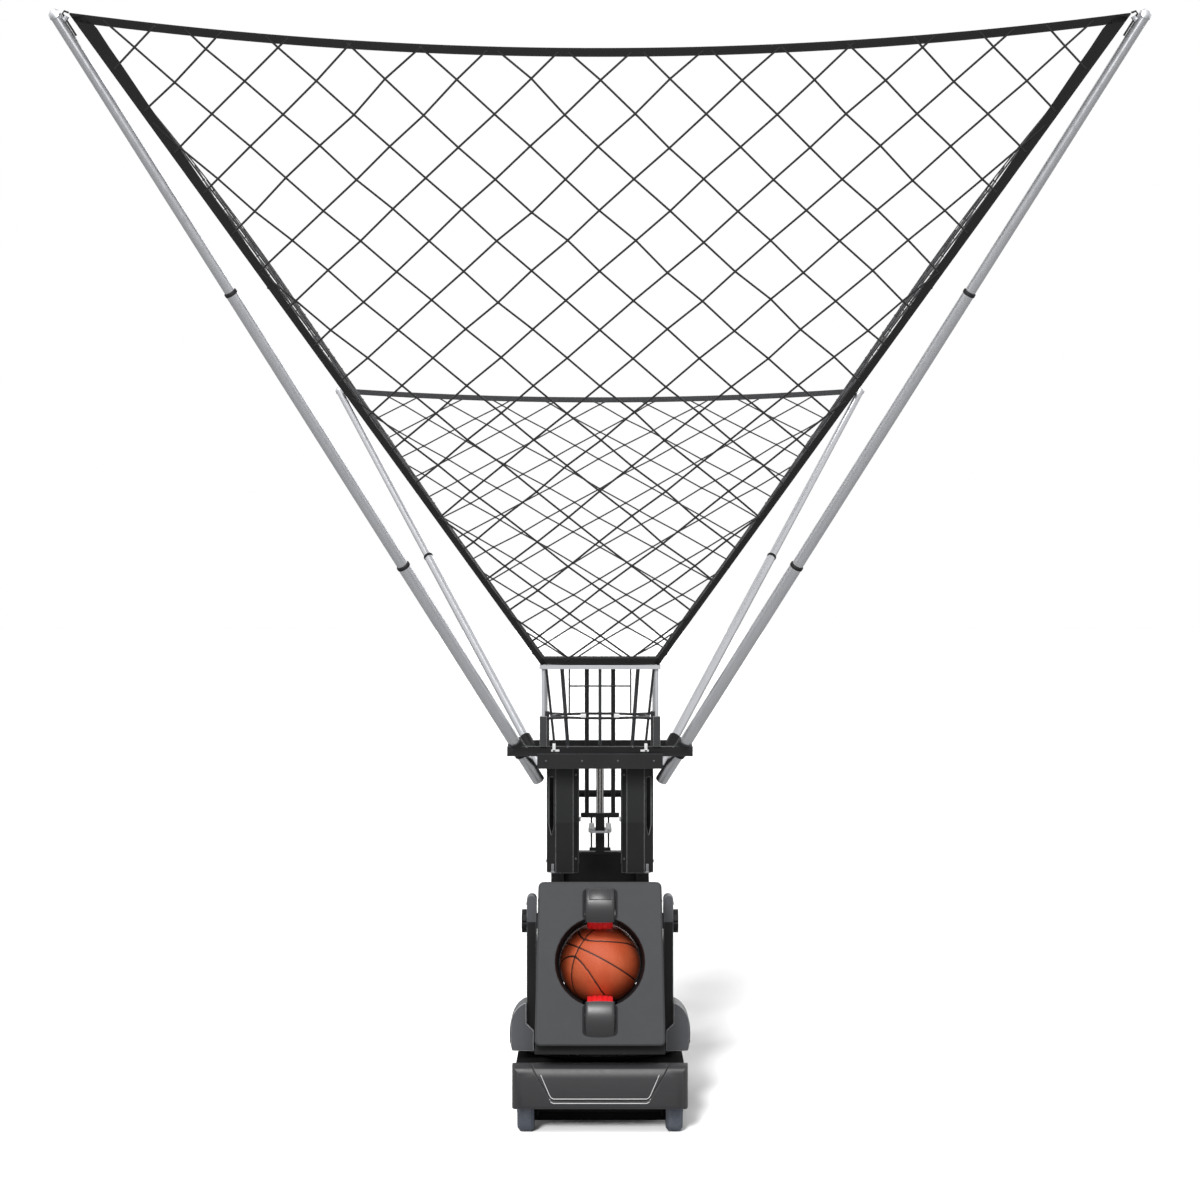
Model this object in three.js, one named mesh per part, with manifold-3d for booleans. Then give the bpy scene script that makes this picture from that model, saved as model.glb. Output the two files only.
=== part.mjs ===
// A basketball shooting machine. A tall net on four telescopic poles catches every shot and leads the ball
// through a wire cage into a feed column. A head with two driven wheels throws it back to the shooter.
// Millimetres, +Z up. The machine throws towards -Y, and +X is on the right of someone who faces it.
// The origin lies on the floor under the axis that the head turns on, in the middle of the whole machine.

import * as THREE from "three";
import { mergeVertices } from "three/addons/utils/BufferGeometryUtils.js";
import Module from "manifold-3d";

const wasm = await Module();
wasm.setup();

// Sizes that several pieces share

const gap = 0.3; // between pieces that touch or run on each other
const overrun = 6; // how far a cutter passes beyond what it cuts
const sheet = 4; // folded sheet metal
const ball = { radius: 123 };

const side = { wire: 4, small: 8, pole: 12, round: 18, wheel: 24, disc: 36 }; // facets round a curve

const frontWheel = { radius: 65, width: 50, track: 223, ahead: 300, bore: 8, edge: 9, recess: 5, rim: 38 };
const caster = {
  radius: 38, width: 26, track: 148, behind: 285, trail: 26,
  axle: 4, disc: 27, discThickness: 9, legThickness: 4, legWidth: 26, edge: 5,
};
const chassis = { halfWidth: 190, front: 368, rear: 372, underside: 100, top: 190 };
const bumper = {
  halfWidth: 262, front: 420, bottom: 87, top: 217, wall: 7, corner: 34, edge: 14, brow: 38, chin: 12,
  panelTop: 6, panelBottom: 110, panelTopHalf: 210, panelBottomHalf: 147, groove: 5, grooveDepth: 4,
};
const deck = { halfWidth: 255, skirtBottom: 95 };
const bearing = { outer: 150, inner: 110, height: 10 };
const turntable = { radius: 255, thickness: 8, bore: 30 };
const mast = { width: 40, along: 40, wall: 3, track: 140, behind: 330, foot: 60, footThickness: 6 };

// The head, measured from its tilt axis: ahead is towards the shooter, drop is below the axis
const tilt = 10; // degrees that the head looks up as shown
const pivot = { ahead: 150, height: 612, drop: 131, stem: 10 };
const wheel = { radius: 65, width: 77, opening: 195, ahead: 173.6, hub: 24, shaft: 8, crown: 5, recess: 9 };
const shell = { halfWidth: 184, rear: 60, headroom: 2.5, footroom: 9.5, corner: 14, bossRadius: 24, boss: 10.7 };
const face = { ahead: 234.5, thickness: 12, lip: 3, foot: 5, flare: 10, corner: 14, bevel: 4, mouthPlay: 11 };
const hood = { halfWidth: 52, depth: 22, wall: 3, corner: 12, into: 11, reach: 90, slotHalf: 45, slotRim: 6 };
const motor = { radius: 36, from: 60, bore: 8.5 };
const tray = { wall: 4, arc: 60, from: 95, to: 320, slot: 24, slotFrom: 40, ribHalf: 60, rib: 5, guardTop: 30 };
const rail = { halfWidth: 7, top: 9, height: 10 };
const pusher = { disc: 60, thickness: 8, arm: 14, armPlay: 2, block: 22, blockLength: 40 };

// The top of the yoke is measured above the tilt axis
const yoke = { thickness: 30, along: 60, top: 82, footInner: 156, footThickness: 8, footAlong: 72 };
const cover = {
  bulge: 52, over: 22, top: 367, along: 110, wall: 18, waist: 25, tuck: 8, shoulder: 22, crest: 7, step: 283, edge: 24,
};
const knob = { radius: 36, thickness: 15, flutes: 8, fluteRadius: 5 };

const column = {
  playWide: 38, playDeep: 13, bottom: 757, chamfer: 28, openingHalf: 66.5, lip: 16,
  slotFrom: 8, slotTo: 22, slotBelow: 62, slotLength: 147, slotTip: 32,
};
const platform = { underside: 1114.3, thickness: 5.7, overhang: 27, front: 200, throatPlay: 14, lipSide: 24 };
const apron = { bottom: 1084, top: 1130, thickness: 6 };
const frontArm = { halfWidth: 285, height: 30, depth: 24, ahead: 166, wall: 3 };
const rearArm = { halfWidth: 250, height: 20, depth: 22 };

// Heights in the basket are measured above the platform
const cage = { top: 1400, half: 180, bar: 12, post: 174, postBox: 22, postBoxTop: 1243, postRadius: 5.5 };
const basket = { wire: 4, fine: 2.5, ringHeight: 116, wireHeight: 205, count: 8, struts: 98 };
const guide = {
  track: 42.5, behind: 212, radius: 7, tie: 905, tieHeight: 15, tieHalf: 62, slotPlay: 6,
  plateHalf: 14.5, plateFoot: 781, plateAhead: 19, plateThickness: 5, crossHeight: 7,
};
const shuttle = { track: 27.5, wire: 3, foot: 797, at: 858, height: 14, finger: 74, fingerWidth: 8 };
const screw = { radius: 5, collar: 12.5, collarTop: 1100 };

// A pole passes its foot, which is where it goes through the arm, by the length of its tail
const poleFront = {
  foot: [256, -160, 1152], tip: [1424, -1266, 3128], tail: 144, joints: [709, 1677], radii: [19, 17, 15],
};
const poleRear = { foot: [240, 330, 1140], tip: [957, 1268, 2368], tail: 108, joints: [850], radii: [15, 13] };
const pole = { wall: 1.7, nest: 80, cap: 2.5, clip: 7, clipBelow: 10 };
const socket = { wall: 4, below: 36, above: 16 };

const net = {
  cord: 6, band: 26, bottomBand: 22, thick: 5, across: 315, along: 300, frontInset: 34, rearInset: 30,
  frontSag: 95, rearSag: 52, sideSag: 45, sideBow: 40, seamInset: 7, leastShare: 0.05,
};
const handle = { radius: 12, stay: 9.6, behind: 392, height: 960 };
const box = { halfWidth: 148, depth: 66, bottom: 590, top: 770, screen: 60, screenHeight: 50, bezel: 3, key: 11 };
const rocker = {
  width: 22, height: 30, thickness: 9, play: 1, swing: 4, proud: 2, lowShare: 0.55, saddleShare: 0.35,
};
const inlet = { width: 48, height: 32, wall: 3, depth: 20 };

// Finishes

const finish = (color, roughness, metalness) => new THREE.MeshStandardMaterial({ color, roughness, metalness });
const blackPaint = finish(0x1b1c1e, 0.55, 0.2);
const greyPaint = finish(0x6b6e72, 0.5, 0.25);
const darkPlastic = finish(0x55575a, 0.75, 0);
const redRubber = finish(0xe01e23, 0.6, 0);
const greyRubber = finish(0x64696f, 0.85, 0);
const steel = finish(0xb9bcc0, 0.3, 0.9);
const aluminium = finish(0x9ea3a8, 0.35, 0.85);
const leather = finish(0xc85f28, 0.7, 0);
const cordage = finish(0x202124, 0.9, 0);

// Solids

// A closed solid from a geometry: shared vertices are merged, and flat or doubled triangles left out.
function solidOf(geometry) {
  const bare = new THREE.BufferGeometry().setAttribute("position", geometry.getAttribute("position"));
  bare.setIndex(geometry.index);
  const merged = mergeVertices(bare);
  const kept = [];
  for (let i = 0; i < merged.index.count; i += 3) {
    const [a, b, c] = [0, 1, 2].map((k) => merged.index.getX(i + k));
    if (a !== b && b !== c && c !== a) kept.push(a, b, c);
  }
  const vertProperties = new Float32Array(merged.attributes.position.array);
  const solid = new wasm.Manifold(new wasm.Mesh({ numProp: 3, vertProperties, triVerts: new Uint32Array(kept) }));
  if (solid.volume() > 0) return solid;
  for (let i = 0; i < kept.length; i += 3) [kept[i], kept[i + 1]] = [kept[i + 1], kept[i]];
  return new wasm.Manifold(new wasm.Mesh({ numProp: 3, vertProperties, triVerts: new Uint32Array(kept) }));
}

function geometryOf(solid) {
  const mesh = solid.getMesh();
  const geometry = new THREE.BufferGeometry();
  geometry.setAttribute("position", new THREE.BufferAttribute(new Float32Array(mesh.vertProperties), 3));
  geometry.setIndex(new THREE.BufferAttribute(new Uint32Array(mesh.triVerts), 1));
  geometry.computeVertexNormals();
  return geometry;
}

const join = (...pieces) => geometryOf(pieces.map(solidOf).reduce((whole, piece) => whole.add(piece)));
const meet = (first, second) => geometryOf(solidOf(first).intersect(solidOf(second)));

function cut(body, ...tools) {
  return geometryOf(tools.map(solidOf).reduce((left, tool) => left.subtract(tool), solidOf(body)));
}

// A box by its faces
function span(x0, x1, y0, y1, z0, z1) {
  const geometry = new THREE.BoxGeometry(x1 - x0, y1 - y0, z1 - z0);
  return geometry.translate((x0 + x1) / 2, (y0 + y1) / 2, (z0 + z1) / 2);
}

// A round bar from one point to another
function rod(from, to, radius, facets = side.small) {
  const [start, end] = [new THREE.Vector3(...from), new THREE.Vector3(...to)];
  const along = end.clone().sub(start);
  const geometry = new THREE.CylinderGeometry(radius, radius, along.length(), facets);
  const turn = new THREE.Quaternion().setFromUnitVectors(new THREE.Vector3(0, 1, 0), along.normalize());
  geometry.applyQuaternion(turn);
  return geometry.translate(...start.add(end).multiplyScalar(1 / 2).toArray());
}

// An outline whose corners may be rounded
function outline(points, radius = 0) {
  const shape = new THREE.Shape();
  const corners = points.map(([x, y]) => new THREE.Vector2(x, y));
  corners.forEach((corner, i) => {
    const before = corners[(i + corners.length - 1) % corners.length].clone().sub(corner);
    const after = corners[(i + 1) % corners.length].clone().sub(corner);
    const start = corner.clone().add(before.setLength(Math.min(radius, before.length() / 2)));
    const end = corner.clone().add(after.setLength(Math.min(radius, after.length() / 2)));
    if (i === 0) shape.moveTo(start.x, start.y);
    else shape.lineTo(start.x, start.y);
    if (radius > 0) shape.quadraticCurveTo(corner.x, corner.y, end.x, end.y);
  });
  shape.closePath();
  return shape;
}

const rectangle = (x0, x1, y0, y1, radius = 0) => outline([[x0, y0], [x1, y0], [x1, y1], [x0, y1]], radius);

// An outline drawn on the floor plan, raised from z0 to z1
function raised(shape, z0, z1, curveSegments = 4) {
  const geometry = new THREE.ExtrudeGeometry(shape, { depth: z1 - z0, bevelEnabled: false, curveSegments });
  return geometry.translate(0, 0, z0);
}

// An outline drawn in the front view (x, z), running back from y0 to y1
function frontal(shape, y0, y1, curveSegments = 4) {
  const geometry = new THREE.ExtrudeGeometry(shape, { depth: y1 - y0, bevelEnabled: false, curveSegments });
  return geometry.rotateX(Math.PI / 2).translate(0, y1, 0);
}

// An outline drawn in the side view (y, z), running across from x0 to x1
function sideways(shape, x0, x1, curveSegments = 4) {
  const geometry = new THREE.ExtrudeGeometry(shape, { depth: x1 - x0, bevelEnabled: false, curveSegments });
  return geometry.rotateX(Math.PI / 2).rotateZ(Math.PI / 2).translate(x0, 0, 0);
}

// A profile of [radius, along] points turned about the x axis
function turnedAboutX(profile, facets) {
  const points = profile.map(([radius, along]) => new THREE.Vector2(radius, along));
  return new THREE.LatheGeometry(points, facets).rotateZ(-Math.PI / 2);
}

function ring(radius, wire, z, facets = 2 * side.small, around = side.wire) {
  return new THREE.TorusGeometry(radius, wire, around, facets).translate(0, 0, z);
}

const machine = new THREE.Group();

function place(parent, name, geometry, material, at = [0, 0, 0]) {
  const mesh = new THREE.Mesh(geometryOf(solidOf(geometry)), material);
  mesh.name = name;
  mesh.position.set(...at);
  parent.add(mesh);
  return mesh;
}

// A piece for the right side and its mirror image for the left
function placePair(parent, name, geometry, material, [x, y, z] = [0, 0, 0]) {
  place(parent, name + "_right", geometry, material, [x, y, z]);
  place(parent, name + "_left", geometry, material, [-x, y, z]).scale.x = -1;
}

// Heights and places that follow from the sizes above

const deckUnderside = chassis.top + gap;
const deckTop = deckUnderside + sheet;
const bearingTop = deckTop + gap + bearing.height;
const turntableBottom = bearingTop + gap;
const turntableTop = turntableBottom + turntable.thickness;
const yokeInner = shell.halfWidth + shell.boss + gap;
const yokeOuter = yokeInner + yoke.thickness;
const wheelOffset = wheel.opening / 2 + wheel.radius;
const ballAhead = wheel.ahead - Math.sqrt((ball.radius + wheel.radius + gap) ** 2 - wheelOffset ** 2);
const shellTop = wheelOffset + wheel.radius + shell.headroom + sheet - pivot.drop;
const shellBottom = -pivot.drop - wheelOffset - wheel.radius - shell.footroom - sheet;
const faceBack = face.ahead - face.thickness;
const mouthRadius = ball.radius + face.mouthPlay;
const columnHalf = ball.radius + column.playWide + sheet;
const columnDepth = ball.radius + column.playDeep + sheet;
const platformTop = platform.underside + platform.thickness;
const platformHalf = columnHalf + platform.overhang;
const throat = ball.radius + platform.throatPlay;
const mastBack = mast.behind + mast.along / 2;
const mastTop = platform.underside - gap;
const cageInner = cage.half - cage.bar / 2;

// Base

function chassisTray() {
  const { halfWidth, front, rear, underside, top } = chassis;
  const outer = span(-halfWidth, halfWidth, -front, rear, underside, top);
  const hollow = span(
    sheet - halfWidth, halfWidth - sheet, sheet - front, rear - sheet, underside + sheet, top + overrun,
  );
  const lugDepth = 3 * frontWheel.bore;
  const lug = (x) => span(x - sheet, x, -frontWheel.ahead - lugDepth, lugDepth - frontWheel.ahead,
    frontWheel.radius - 2 * frontWheel.bore, underside + sheet / 2);
  const axleEnd = frontWheel.track + frontWheel.width / 2 - frontWheel.recess - sheet;
  const axle = rod([-axleEnd, -frontWheel.ahead, frontWheel.radius], [axleEnd, -frontWheel.ahead, frontWheel.radius],
    frontWheel.bore, side.round);
  const casterPlate = (x) => span(x - caster.disc, x + caster.disc, caster.behind - caster.disc,
    caster.behind + caster.disc, underside - sheet, underside + sheet / 2);
  return join(cut(outer, hollow), lug(halfWidth), lug(sheet - halfWidth), axle,
    casterPlate(caster.track), casterPlate(-caster.track));
}

// A moulded shell, open at the back. Its brow is round, and a groove runs round the panel on its front
function frontBumper() {
  const { halfWidth, front, bottom, top, wall, corner, brow, chin, groove, grooveDepth } = bumper;
  const back = chassis.front + gap;
  const plan = new THREE.Shape();
  plan.moveTo(-halfWidth, -back);
  plan.lineTo(-halfWidth, corner - front);
  plan.quadraticCurveTo(-halfWidth, -front, corner - halfWidth, -front);
  plan.lineTo(halfWidth - corner, -front);
  plan.quadraticCurveTo(halfWidth, -front, halfWidth, corner - front);
  plan.lineTo(halfWidth, -back);
  plan.closePath();
  const pillow = (inset) => {
    const [ahead, low, high] = [inset - front, bottom + inset, top - inset];
    const profile = new THREE.Shape();
    profile.moveTo(-back, low);
    profile.lineTo(ahead + chin, low);
    profile.quadraticCurveTo(ahead, low, ahead, low + chin);
    profile.lineTo(ahead, high - brow);
    profile.quadraticCurveTo(ahead, high, ahead + brow, high);
    profile.lineTo(-back, high);
    profile.closePath();
    return sideways(profile, -halfWidth, halfWidth, side.small / 2);
  };
  const body = meet(raised(plan, bottom, top), pillow(0));
  const pocket = span(wall - halfWidth, halfWidth - wall, corner - front, overrun - back, bottom + wall, top - wall);
  const panel = (inset, from) => frontal(outline([
    [-bumper.panelTopHalf + inset, top + bumper.panelTop - inset],
    [-bumper.panelBottomHalf + inset, bumper.panelBottom + inset],
    [bumper.panelBottomHalf - inset, bumper.panelBottom + inset],
    [bumper.panelTopHalf - inset, top + bumper.panelTop - inset],
  ], bumper.edge), -front - overrun, from);
  const grooveTool = cut(panel(0, corner - front), panel(groove, corner + overrun - front), pillow(grooveDepth));
  return cut(body, pocket, grooveTool);
}

// The top of the base, folded down at both sides
function deckCover() {
  const plate = span(-deck.halfWidth, deck.halfWidth, -chassis.front, chassis.rear, deckUnderside, deckTop);
  const skirt = (x) => span(x, x + sheet, -chassis.front, chassis.rear, deck.skirtBottom, deckTop - sheet / 2);
  return join(plate, skirt(-deck.halfWidth), skirt(deck.halfWidth - sheet));
}

function rearPanel() {
  const from = chassis.rear + gap;
  const plate = span(-deck.halfWidth, deck.halfWidth, from, from + sheet, deck.skirtBottom, deckTop);
  const middle = (deck.skirtBottom + deckTop) / 2;
  const frameOf = (grow, y1) => span(-inlet.width / 2 - grow, inlet.width / 2 + grow, from + sheet / 2, y1,
    middle - inlet.height / 2 - grow, middle + inlet.height / 2 + grow);
  return cut(join(plate, frameOf(inlet.wall, from + inlet.depth)), frameOf(0, from + inlet.depth + overrun));
}

function bearingRing() {
  const shape = new THREE.Shape().absarc(0, 0, bearing.outer, 0, 2 * Math.PI);
  shape.holes.push(new THREE.Path().absarc(0, 0, bearing.inner, 0, 2 * Math.PI, true));
  return raised(shape, deckTop + gap, bearingTop, side.pole);
}

// The rolling wheel of the front axle: blind bore from the inside, dished hub on the outside
function baseWheel() {
  const { radius, width, bore, edge, recess, rim } = frontWheel;
  const half = width / 2;
  const closedBy = recess + sheet;
  return turnedAboutX([
    [0, half - recess], [rim - recess, half - recess], [rim, half], [radius - edge, half], [radius, half - edge],
    [radius, edge - half], [radius - edge, -half], [rim, -half], [rim - recess, recess - half],
    [bore + gap, recess - half], [bore + gap, half - closedBy + gap], [0, half - closedBy + gap],
  ], side.wheel);
}

function casterFork() {
  const top = chassis.underside - sheet - gap;
  const inner = caster.width / 2 + 2 * gap;
  const outer = inner + caster.legThickness;
  const disc = rod([0, 0, top - caster.discThickness], [0, 0, top], caster.disc, side.round);
  const bridge = span(-outer, outer, -caster.disc / 2, caster.trail + caster.legWidth / 2,
    top - caster.discThickness - caster.legThickness, top - caster.discThickness / 2);
  const legOutline = outline([
    [-caster.disc / 2, top - caster.discThickness], [caster.trail - caster.legWidth / 2, caster.radius / 2],
    [caster.trail + caster.legWidth / 2, caster.radius / 2],
    [caster.trail + caster.legWidth / 2, top - caster.discThickness],
  ], caster.edge);
  const leg = (x) => sideways(legOutline, x, x + caster.legThickness, 3);
  const axle = rod([-outer, caster.trail, caster.radius], [outer, caster.trail, caster.radius], caster.axle);
  return join(disc, bridge, leg(inner), leg(-outer), axle);
}

function casterWheel() {
  const { radius, width, axle, edge } = caster;
  const half = width / 2;
  return turnedAboutX([
    [axle + gap, -half], [axle + gap, half], [radius - edge, half], [radius, half - edge],
    [radius, edge - half], [radius - edge, -half], [axle + gap, -half],
  ], side.round);
}

// Square tube on a foot plate, open at its top
function mastPost() {
  const bottom = deckTop + gap;
  const [halfX, halfY] = [mast.width / 2, mast.along / 2];
  const tube = span(-halfX, halfX, -halfY, halfY, bottom, mastTop);
  const bore = span(mast.wall - halfX, halfX - mast.wall, mast.wall - halfY, halfY - mast.wall,
    bottom + mast.footThickness, mastTop + overrun);
  const foot = span(-mast.foot / 2, mast.foot / 2, -halfY, halfY + mast.footThickness, bottom,
    bottom + mast.footThickness);
  return join(cut(tube, bore), foot);
}

function controlBox() {
  const from = mastBack + gap;
  const to = from + box.depth;
  const middle = (box.bottom + box.top) / 2;
  const body = raised(rectangle(-box.halfWidth, box.halfWidth, from, to, box.key), box.bottom, box.top);
  const screen = span(-box.screen, box.screen, to - box.bezel, to + overrun, middle, middle + box.screenHeight);
  const keys = [-1, 0, 1].map((i) => rod([i * 3 * box.key, to - box.bezel, middle - 2 * box.key],
    [i * 3 * box.key, to + box.bezel, middle - 2 * box.key], box.key / 2, side.pole));
  const seat = span(box.screen - rocker.width / 2 - gap, box.screen + rocker.width / 2 + gap,
    to - rocker.thickness - rocker.swing, to + overrun,
    middle - 3 * box.key - rocker.height / 2 - rocker.play, middle - 3 * box.key + rocker.height / 2 + rocker.play);
  return join(cut(body, screen, seat), ...keys);
}

function powerRocker() {
  const half = rocker.height / 2;
  const bent = outline([
    [-half, 0], [half, 0], [half, rocker.thickness * rocker.lowShare],
    [0, rocker.thickness * rocker.saddleShare], [-half, rocker.thickness],
  ]);
  return new THREE.ExtrudeGeometry(bent, { depth: rocker.width, bevelEnabled: false })
    .rotateY(-Math.PI / 2).translate(rocker.width / 2, 0, 0);
}

function pushHandle() {
  const from = mastBack + gap;
  const { radius, behind, height } = handle;
  const grip = rod([-mast.track - radius, behind, height], [mast.track + radius, behind, height], radius, side.pole);
  const stay = (x) => rod([x, from, height], [x, behind, height], handle.stay, side.pole);
  const flange = (x) => rod([x, from, height], [x, from + sheet, height], mast.width / 2 - mast.wall, side.pole);
  return join(grip, ...[-mast.track, mast.track].flatMap((x) => [stay(x), flange(x)]));
}

const base = new THREE.Group();
machine.add(base);
place(base, "chassis", chassisTray(), blackPaint);
place(base, "front_bumper", frontBumper(), darkPlastic);
place(base, "deck_cover", deckCover(), blackPaint);
place(base, "rear_panel", rearPanel(), darkPlastic);
place(base, "bearing_ring", bearingRing(), steel);
placePair(base, "front_wheel", baseWheel(), greyRubber, [frontWheel.track, -frontWheel.ahead, frontWheel.radius]);
placePair(base, "caster_fork", casterFork(), steel, [caster.track, caster.behind, 0]);
placePair(base, "caster_wheel", casterWheel(), greyRubber,
  [caster.track, caster.behind + caster.trail, caster.radius]);
placePair(base, "mast", mastPost(), blackPaint, [mast.track, mast.behind, 0]);
place(base, "control_box", controlBox(), darkPlastic);
place(base, "power_rocker", powerRocker(), redRubber,
  [box.screen, mastBack + gap + box.depth - rocker.thickness + rocker.proud, (box.bottom + box.top) / 2 - 3 * box.key]);
place(base, "push_handle", pushHandle(), blackPaint);

// Turret

function turntableDisc() {
  const shape = new THREE.Shape().absarc(0, 0, turntable.radius, 0, 2 * Math.PI);
  shape.holes.push(new THREE.Path().absarc(0, 0, turntable.bore, 0, 2 * Math.PI, true));
  return raised(shape, turntableBottom, turntableTop, side.round);
}

// A round-topped arm on a foot plate, bored for the stem of its knob
function yokeArm() {
  const bottom = turntableTop + gap;
  const radius = yoke.thickness / 2;
  const middle = yokeInner + radius;
  const crown = pivot.height + yoke.top - radius;
  const profile = new THREE.Shape();
  profile.moveTo(yokeInner, bottom);
  profile.lineTo(yokeOuter, bottom);
  profile.lineTo(yokeOuter, crown);
  profile.absarc(middle, crown, radius, 0, Math.PI);
  profile.closePath();
  const arm = frontal(profile, -yoke.along / 2, yoke.along / 2, side.small);
  const foot = span(yoke.footInner, yokeInner + radius, -yoke.footAlong / 2, yoke.footAlong / 2,
    bottom, bottom + yoke.footThickness);
  const bore = rod([yokeInner - overrun, 0, pivot.height], [yokeOuter + overrun, 0, pivot.height],
    pivot.stem + gap, side.round);
  return cut(join(arm, foot), bore);
}

// A moulded fairing round the foot of an arm. Below its step it also covers the arm's front
function yokeCover() {
  const { over, bulge, top, along, wall, waist, tuck, shoulder, crest, step, edge } = cover;
  const bottom = turntableTop + gap + yoke.footThickness + gap;
  const [inner, outer] = [yokeOuter - over, yokeOuter + bulge];
  const profile = new THREE.Shape();
  profile.moveTo(inner, bottom);
  profile.lineTo(outer - tuck, bottom);
  profile.quadraticCurveTo(outer, bottom + waist, outer, bottom + 2 * waist);
  profile.quadraticCurveTo(outer, top - shoulder, yokeOuter + crest, top);
  profile.lineTo(yokeOuter + gap, top);
  profile.lineTo(yokeOuter + gap, step + over);
  profile.lineTo(inner, step);
  profile.closePath();
  const plan = rectangle(inner - overrun - edge, outer, -along / 2, along / 2, edge);
  const body = meet(frontal(profile, -along / 2, along / 2, side.small), raised(plan, bottom, top));
  const channel = span(inner - overrun, yokeOuter + gap, -yoke.along / 2 - gap, yoke.along / 2 + gap,
    bottom - overrun, top + overrun);
  const hollow = span(yokeOuter - overrun, outer - waist, wall - yoke.along / 2, yoke.along / 2 - wall,
    bottom + wall, step);
  return cut(body, channel, hollow);
}

function tiltKnob() {
  const from = yokeOuter + gap;
  const disc = rod([from, 0, 0], [from + knob.thickness, 0, 0], knob.radius, side.wheel);
  const flutes = Array.from({ length: knob.flutes }, (_, i) => {
    const [y, z] = [Math.cos, Math.sin].map((f) => knob.radius * f((2 * Math.PI * i) / knob.flutes));
    return rod([from - overrun, y, z], [from + knob.thickness + overrun, y, z], knob.fluteRadius, side.wire);
  });
  const stem = rod([shell.halfWidth + gap, 0, 0], [from + knob.thickness / 2, 0, 0], pivot.stem, side.pole);
  return join(cut(disc, ...flutes), stem);
}

const turret = new THREE.Group();
machine.add(turret);
place(turret, "turntable", turntableDisc(), blackPaint);
placePair(turret, "yoke_arm", yokeArm(), blackPaint, [0, -pivot.ahead, 0]);
placePair(turret, "yoke_cover", yokeCover(), greyPaint, [0, -pivot.ahead, 0]);
placePair(turret, "tilt_knob", tiltKnob(), blackPaint, [0, -pivot.ahead, pivot.height]);

// Head

const head = new THREE.Group();
head.position.set(0, -pivot.ahead, pivot.height);
head.rotation.x = THREE.MathUtils.degToRad(-tilt);
turret.add(head);

const upperWheelZ = wheelOffset - pivot.drop;
const lowerWheelZ = -wheelOffset - pivot.drop;
// How far a hood reaches, from the throwing line outwards
const hoodFrom = mouthRadius - hood.into;
const hoodTo = hoodFrom + hood.reach;

// The flared face, with a round mouth that runs into a slot for each wheel
function headFace() {
  const half = shell.halfWidth + gap;
  const [top, bottom] = [shellTop + face.lip, shellBottom - face.foot];
  const flank = outline([
    [-half + face.bevel, top - face.bevel], [-half - face.flare + face.bevel, bottom + face.bevel],
    [half + face.flare - face.bevel, bottom + face.bevel], [half - face.bevel, top - face.bevel],
  ], face.corner);
  const plate = new THREE.ExtrudeGeometry(flank, {
    depth: face.thickness - face.bevel, bevelThickness: face.bevel, bevelSize: face.bevel, bevelSegments: 1,
    curveSegments: 4,
  }).rotateX(Math.PI / 2).translate(0, -faceBack, 0);
  const squared = span(-half - face.flare - overrun, half + face.flare + overrun, -faceBack,
    overrun + face.bevel - faceBack, bottom - overrun, top + overrun);
  const mouth = rod([0, -face.ahead - overrun, -pivot.drop], [0, overrun - faceBack, -pivot.drop], mouthRadius,
    side.disc);
  const slot = (from, to) => span(-hood.slotHalf, hood.slotHalf, -face.ahead - overrun, overrun - faceBack,
    Math.min(from, to), Math.max(from, to));
  const reach = hoodTo - hood.slotRim;
  return cut(plate, squared, mouth, slot(-pivot.drop + ball.radius / 2, reach - pivot.drop),
    slot(-pivot.drop - ball.radius / 2, -reach - pivot.drop));
}

// A rounded hood over the slot of one wheel: open at the back and towards the mouth
function wheelHood(up) {
  const zAt = (reach) => up * reach - pivot.drop;
  const rect = (grow, from) => outline([
    [-hood.halfWidth - grow, zAt(from)], [hood.halfWidth + grow, zAt(from)],
    [hood.halfWidth + grow, zAt(hoodTo + grow)], [-hood.halfWidth - grow, zAt(hoodTo + grow)],
  ], hood.corner + grow);
  const body = frontal(rect(0, hoodFrom), -face.ahead - hood.depth, -face.ahead - gap);
  const hollow = frontal(rect(-hood.wall, hoodFrom - 3 * hood.corner), hood.wall - face.ahead - hood.depth,
    overrun - face.ahead);
  return cut(body, hollow);
}

// A rounded sleeve round wheels and ball. Behind the wheels it is open above for the ball that drops in
function headShell() {
  const sleeve = rectangle(-shell.halfWidth, shell.halfWidth, shellBottom, shellTop, shell.corner);
  sleeve.holes.push(rectangle(sheet - shell.halfWidth, shell.halfWidth - sheet, shellBottom + sheet,
    shellTop - sheet, shell.corner - sheet));
  const body = frontal(sleeve, gap - faceBack, shell.rear);
  const ballWay = span(sheet - shell.halfWidth, shell.halfWidth - sheet, shell.corner - wheel.ahead + wheel.radius,
    shell.rear + overrun, shellTop - sheet - shell.corner, shellTop + overrun);
  const boss = (x, to) => rod([x, 0, 0], [to, 0, 0], shell.bossRadius, side.round);
  const outer = shell.halfWidth + shell.boss;
  const stemBore = rod([-outer - overrun, 0, 0], [outer + overrun, 0, 0], pivot.stem + gap, side.round);
  const bosses = [boss(shell.halfWidth - sheet / 2, outer), boss(sheet / 2 - shell.halfWidth, -outer)];
  return cut(join(cut(body, ballWay), ...bosses), stemBore);
}

// A crowned rubber wheel on its own shaft
function throwingWheel() {
  const { radius, width, hub, shaft, crown, recess } = wheel;
  const half = width / 2;
  const shaftEnd = motor.from + 2 * shaft;
  return turnedAboutX([
    [0, -half - shaft], [shaft, -half - shaft], [shaft, recess - half], [hub, recess - half], [hub + recess, -half],
    [radius - crown, -half], [radius, -half / 3], [radius, half / 3], [radius - crown, half], [hub + recess, half],
    [hub, half - recess], [shaft, half - recess], [shaft, shaftEnd], [0, shaftEnd],
  ], side.wheel);
}

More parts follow.
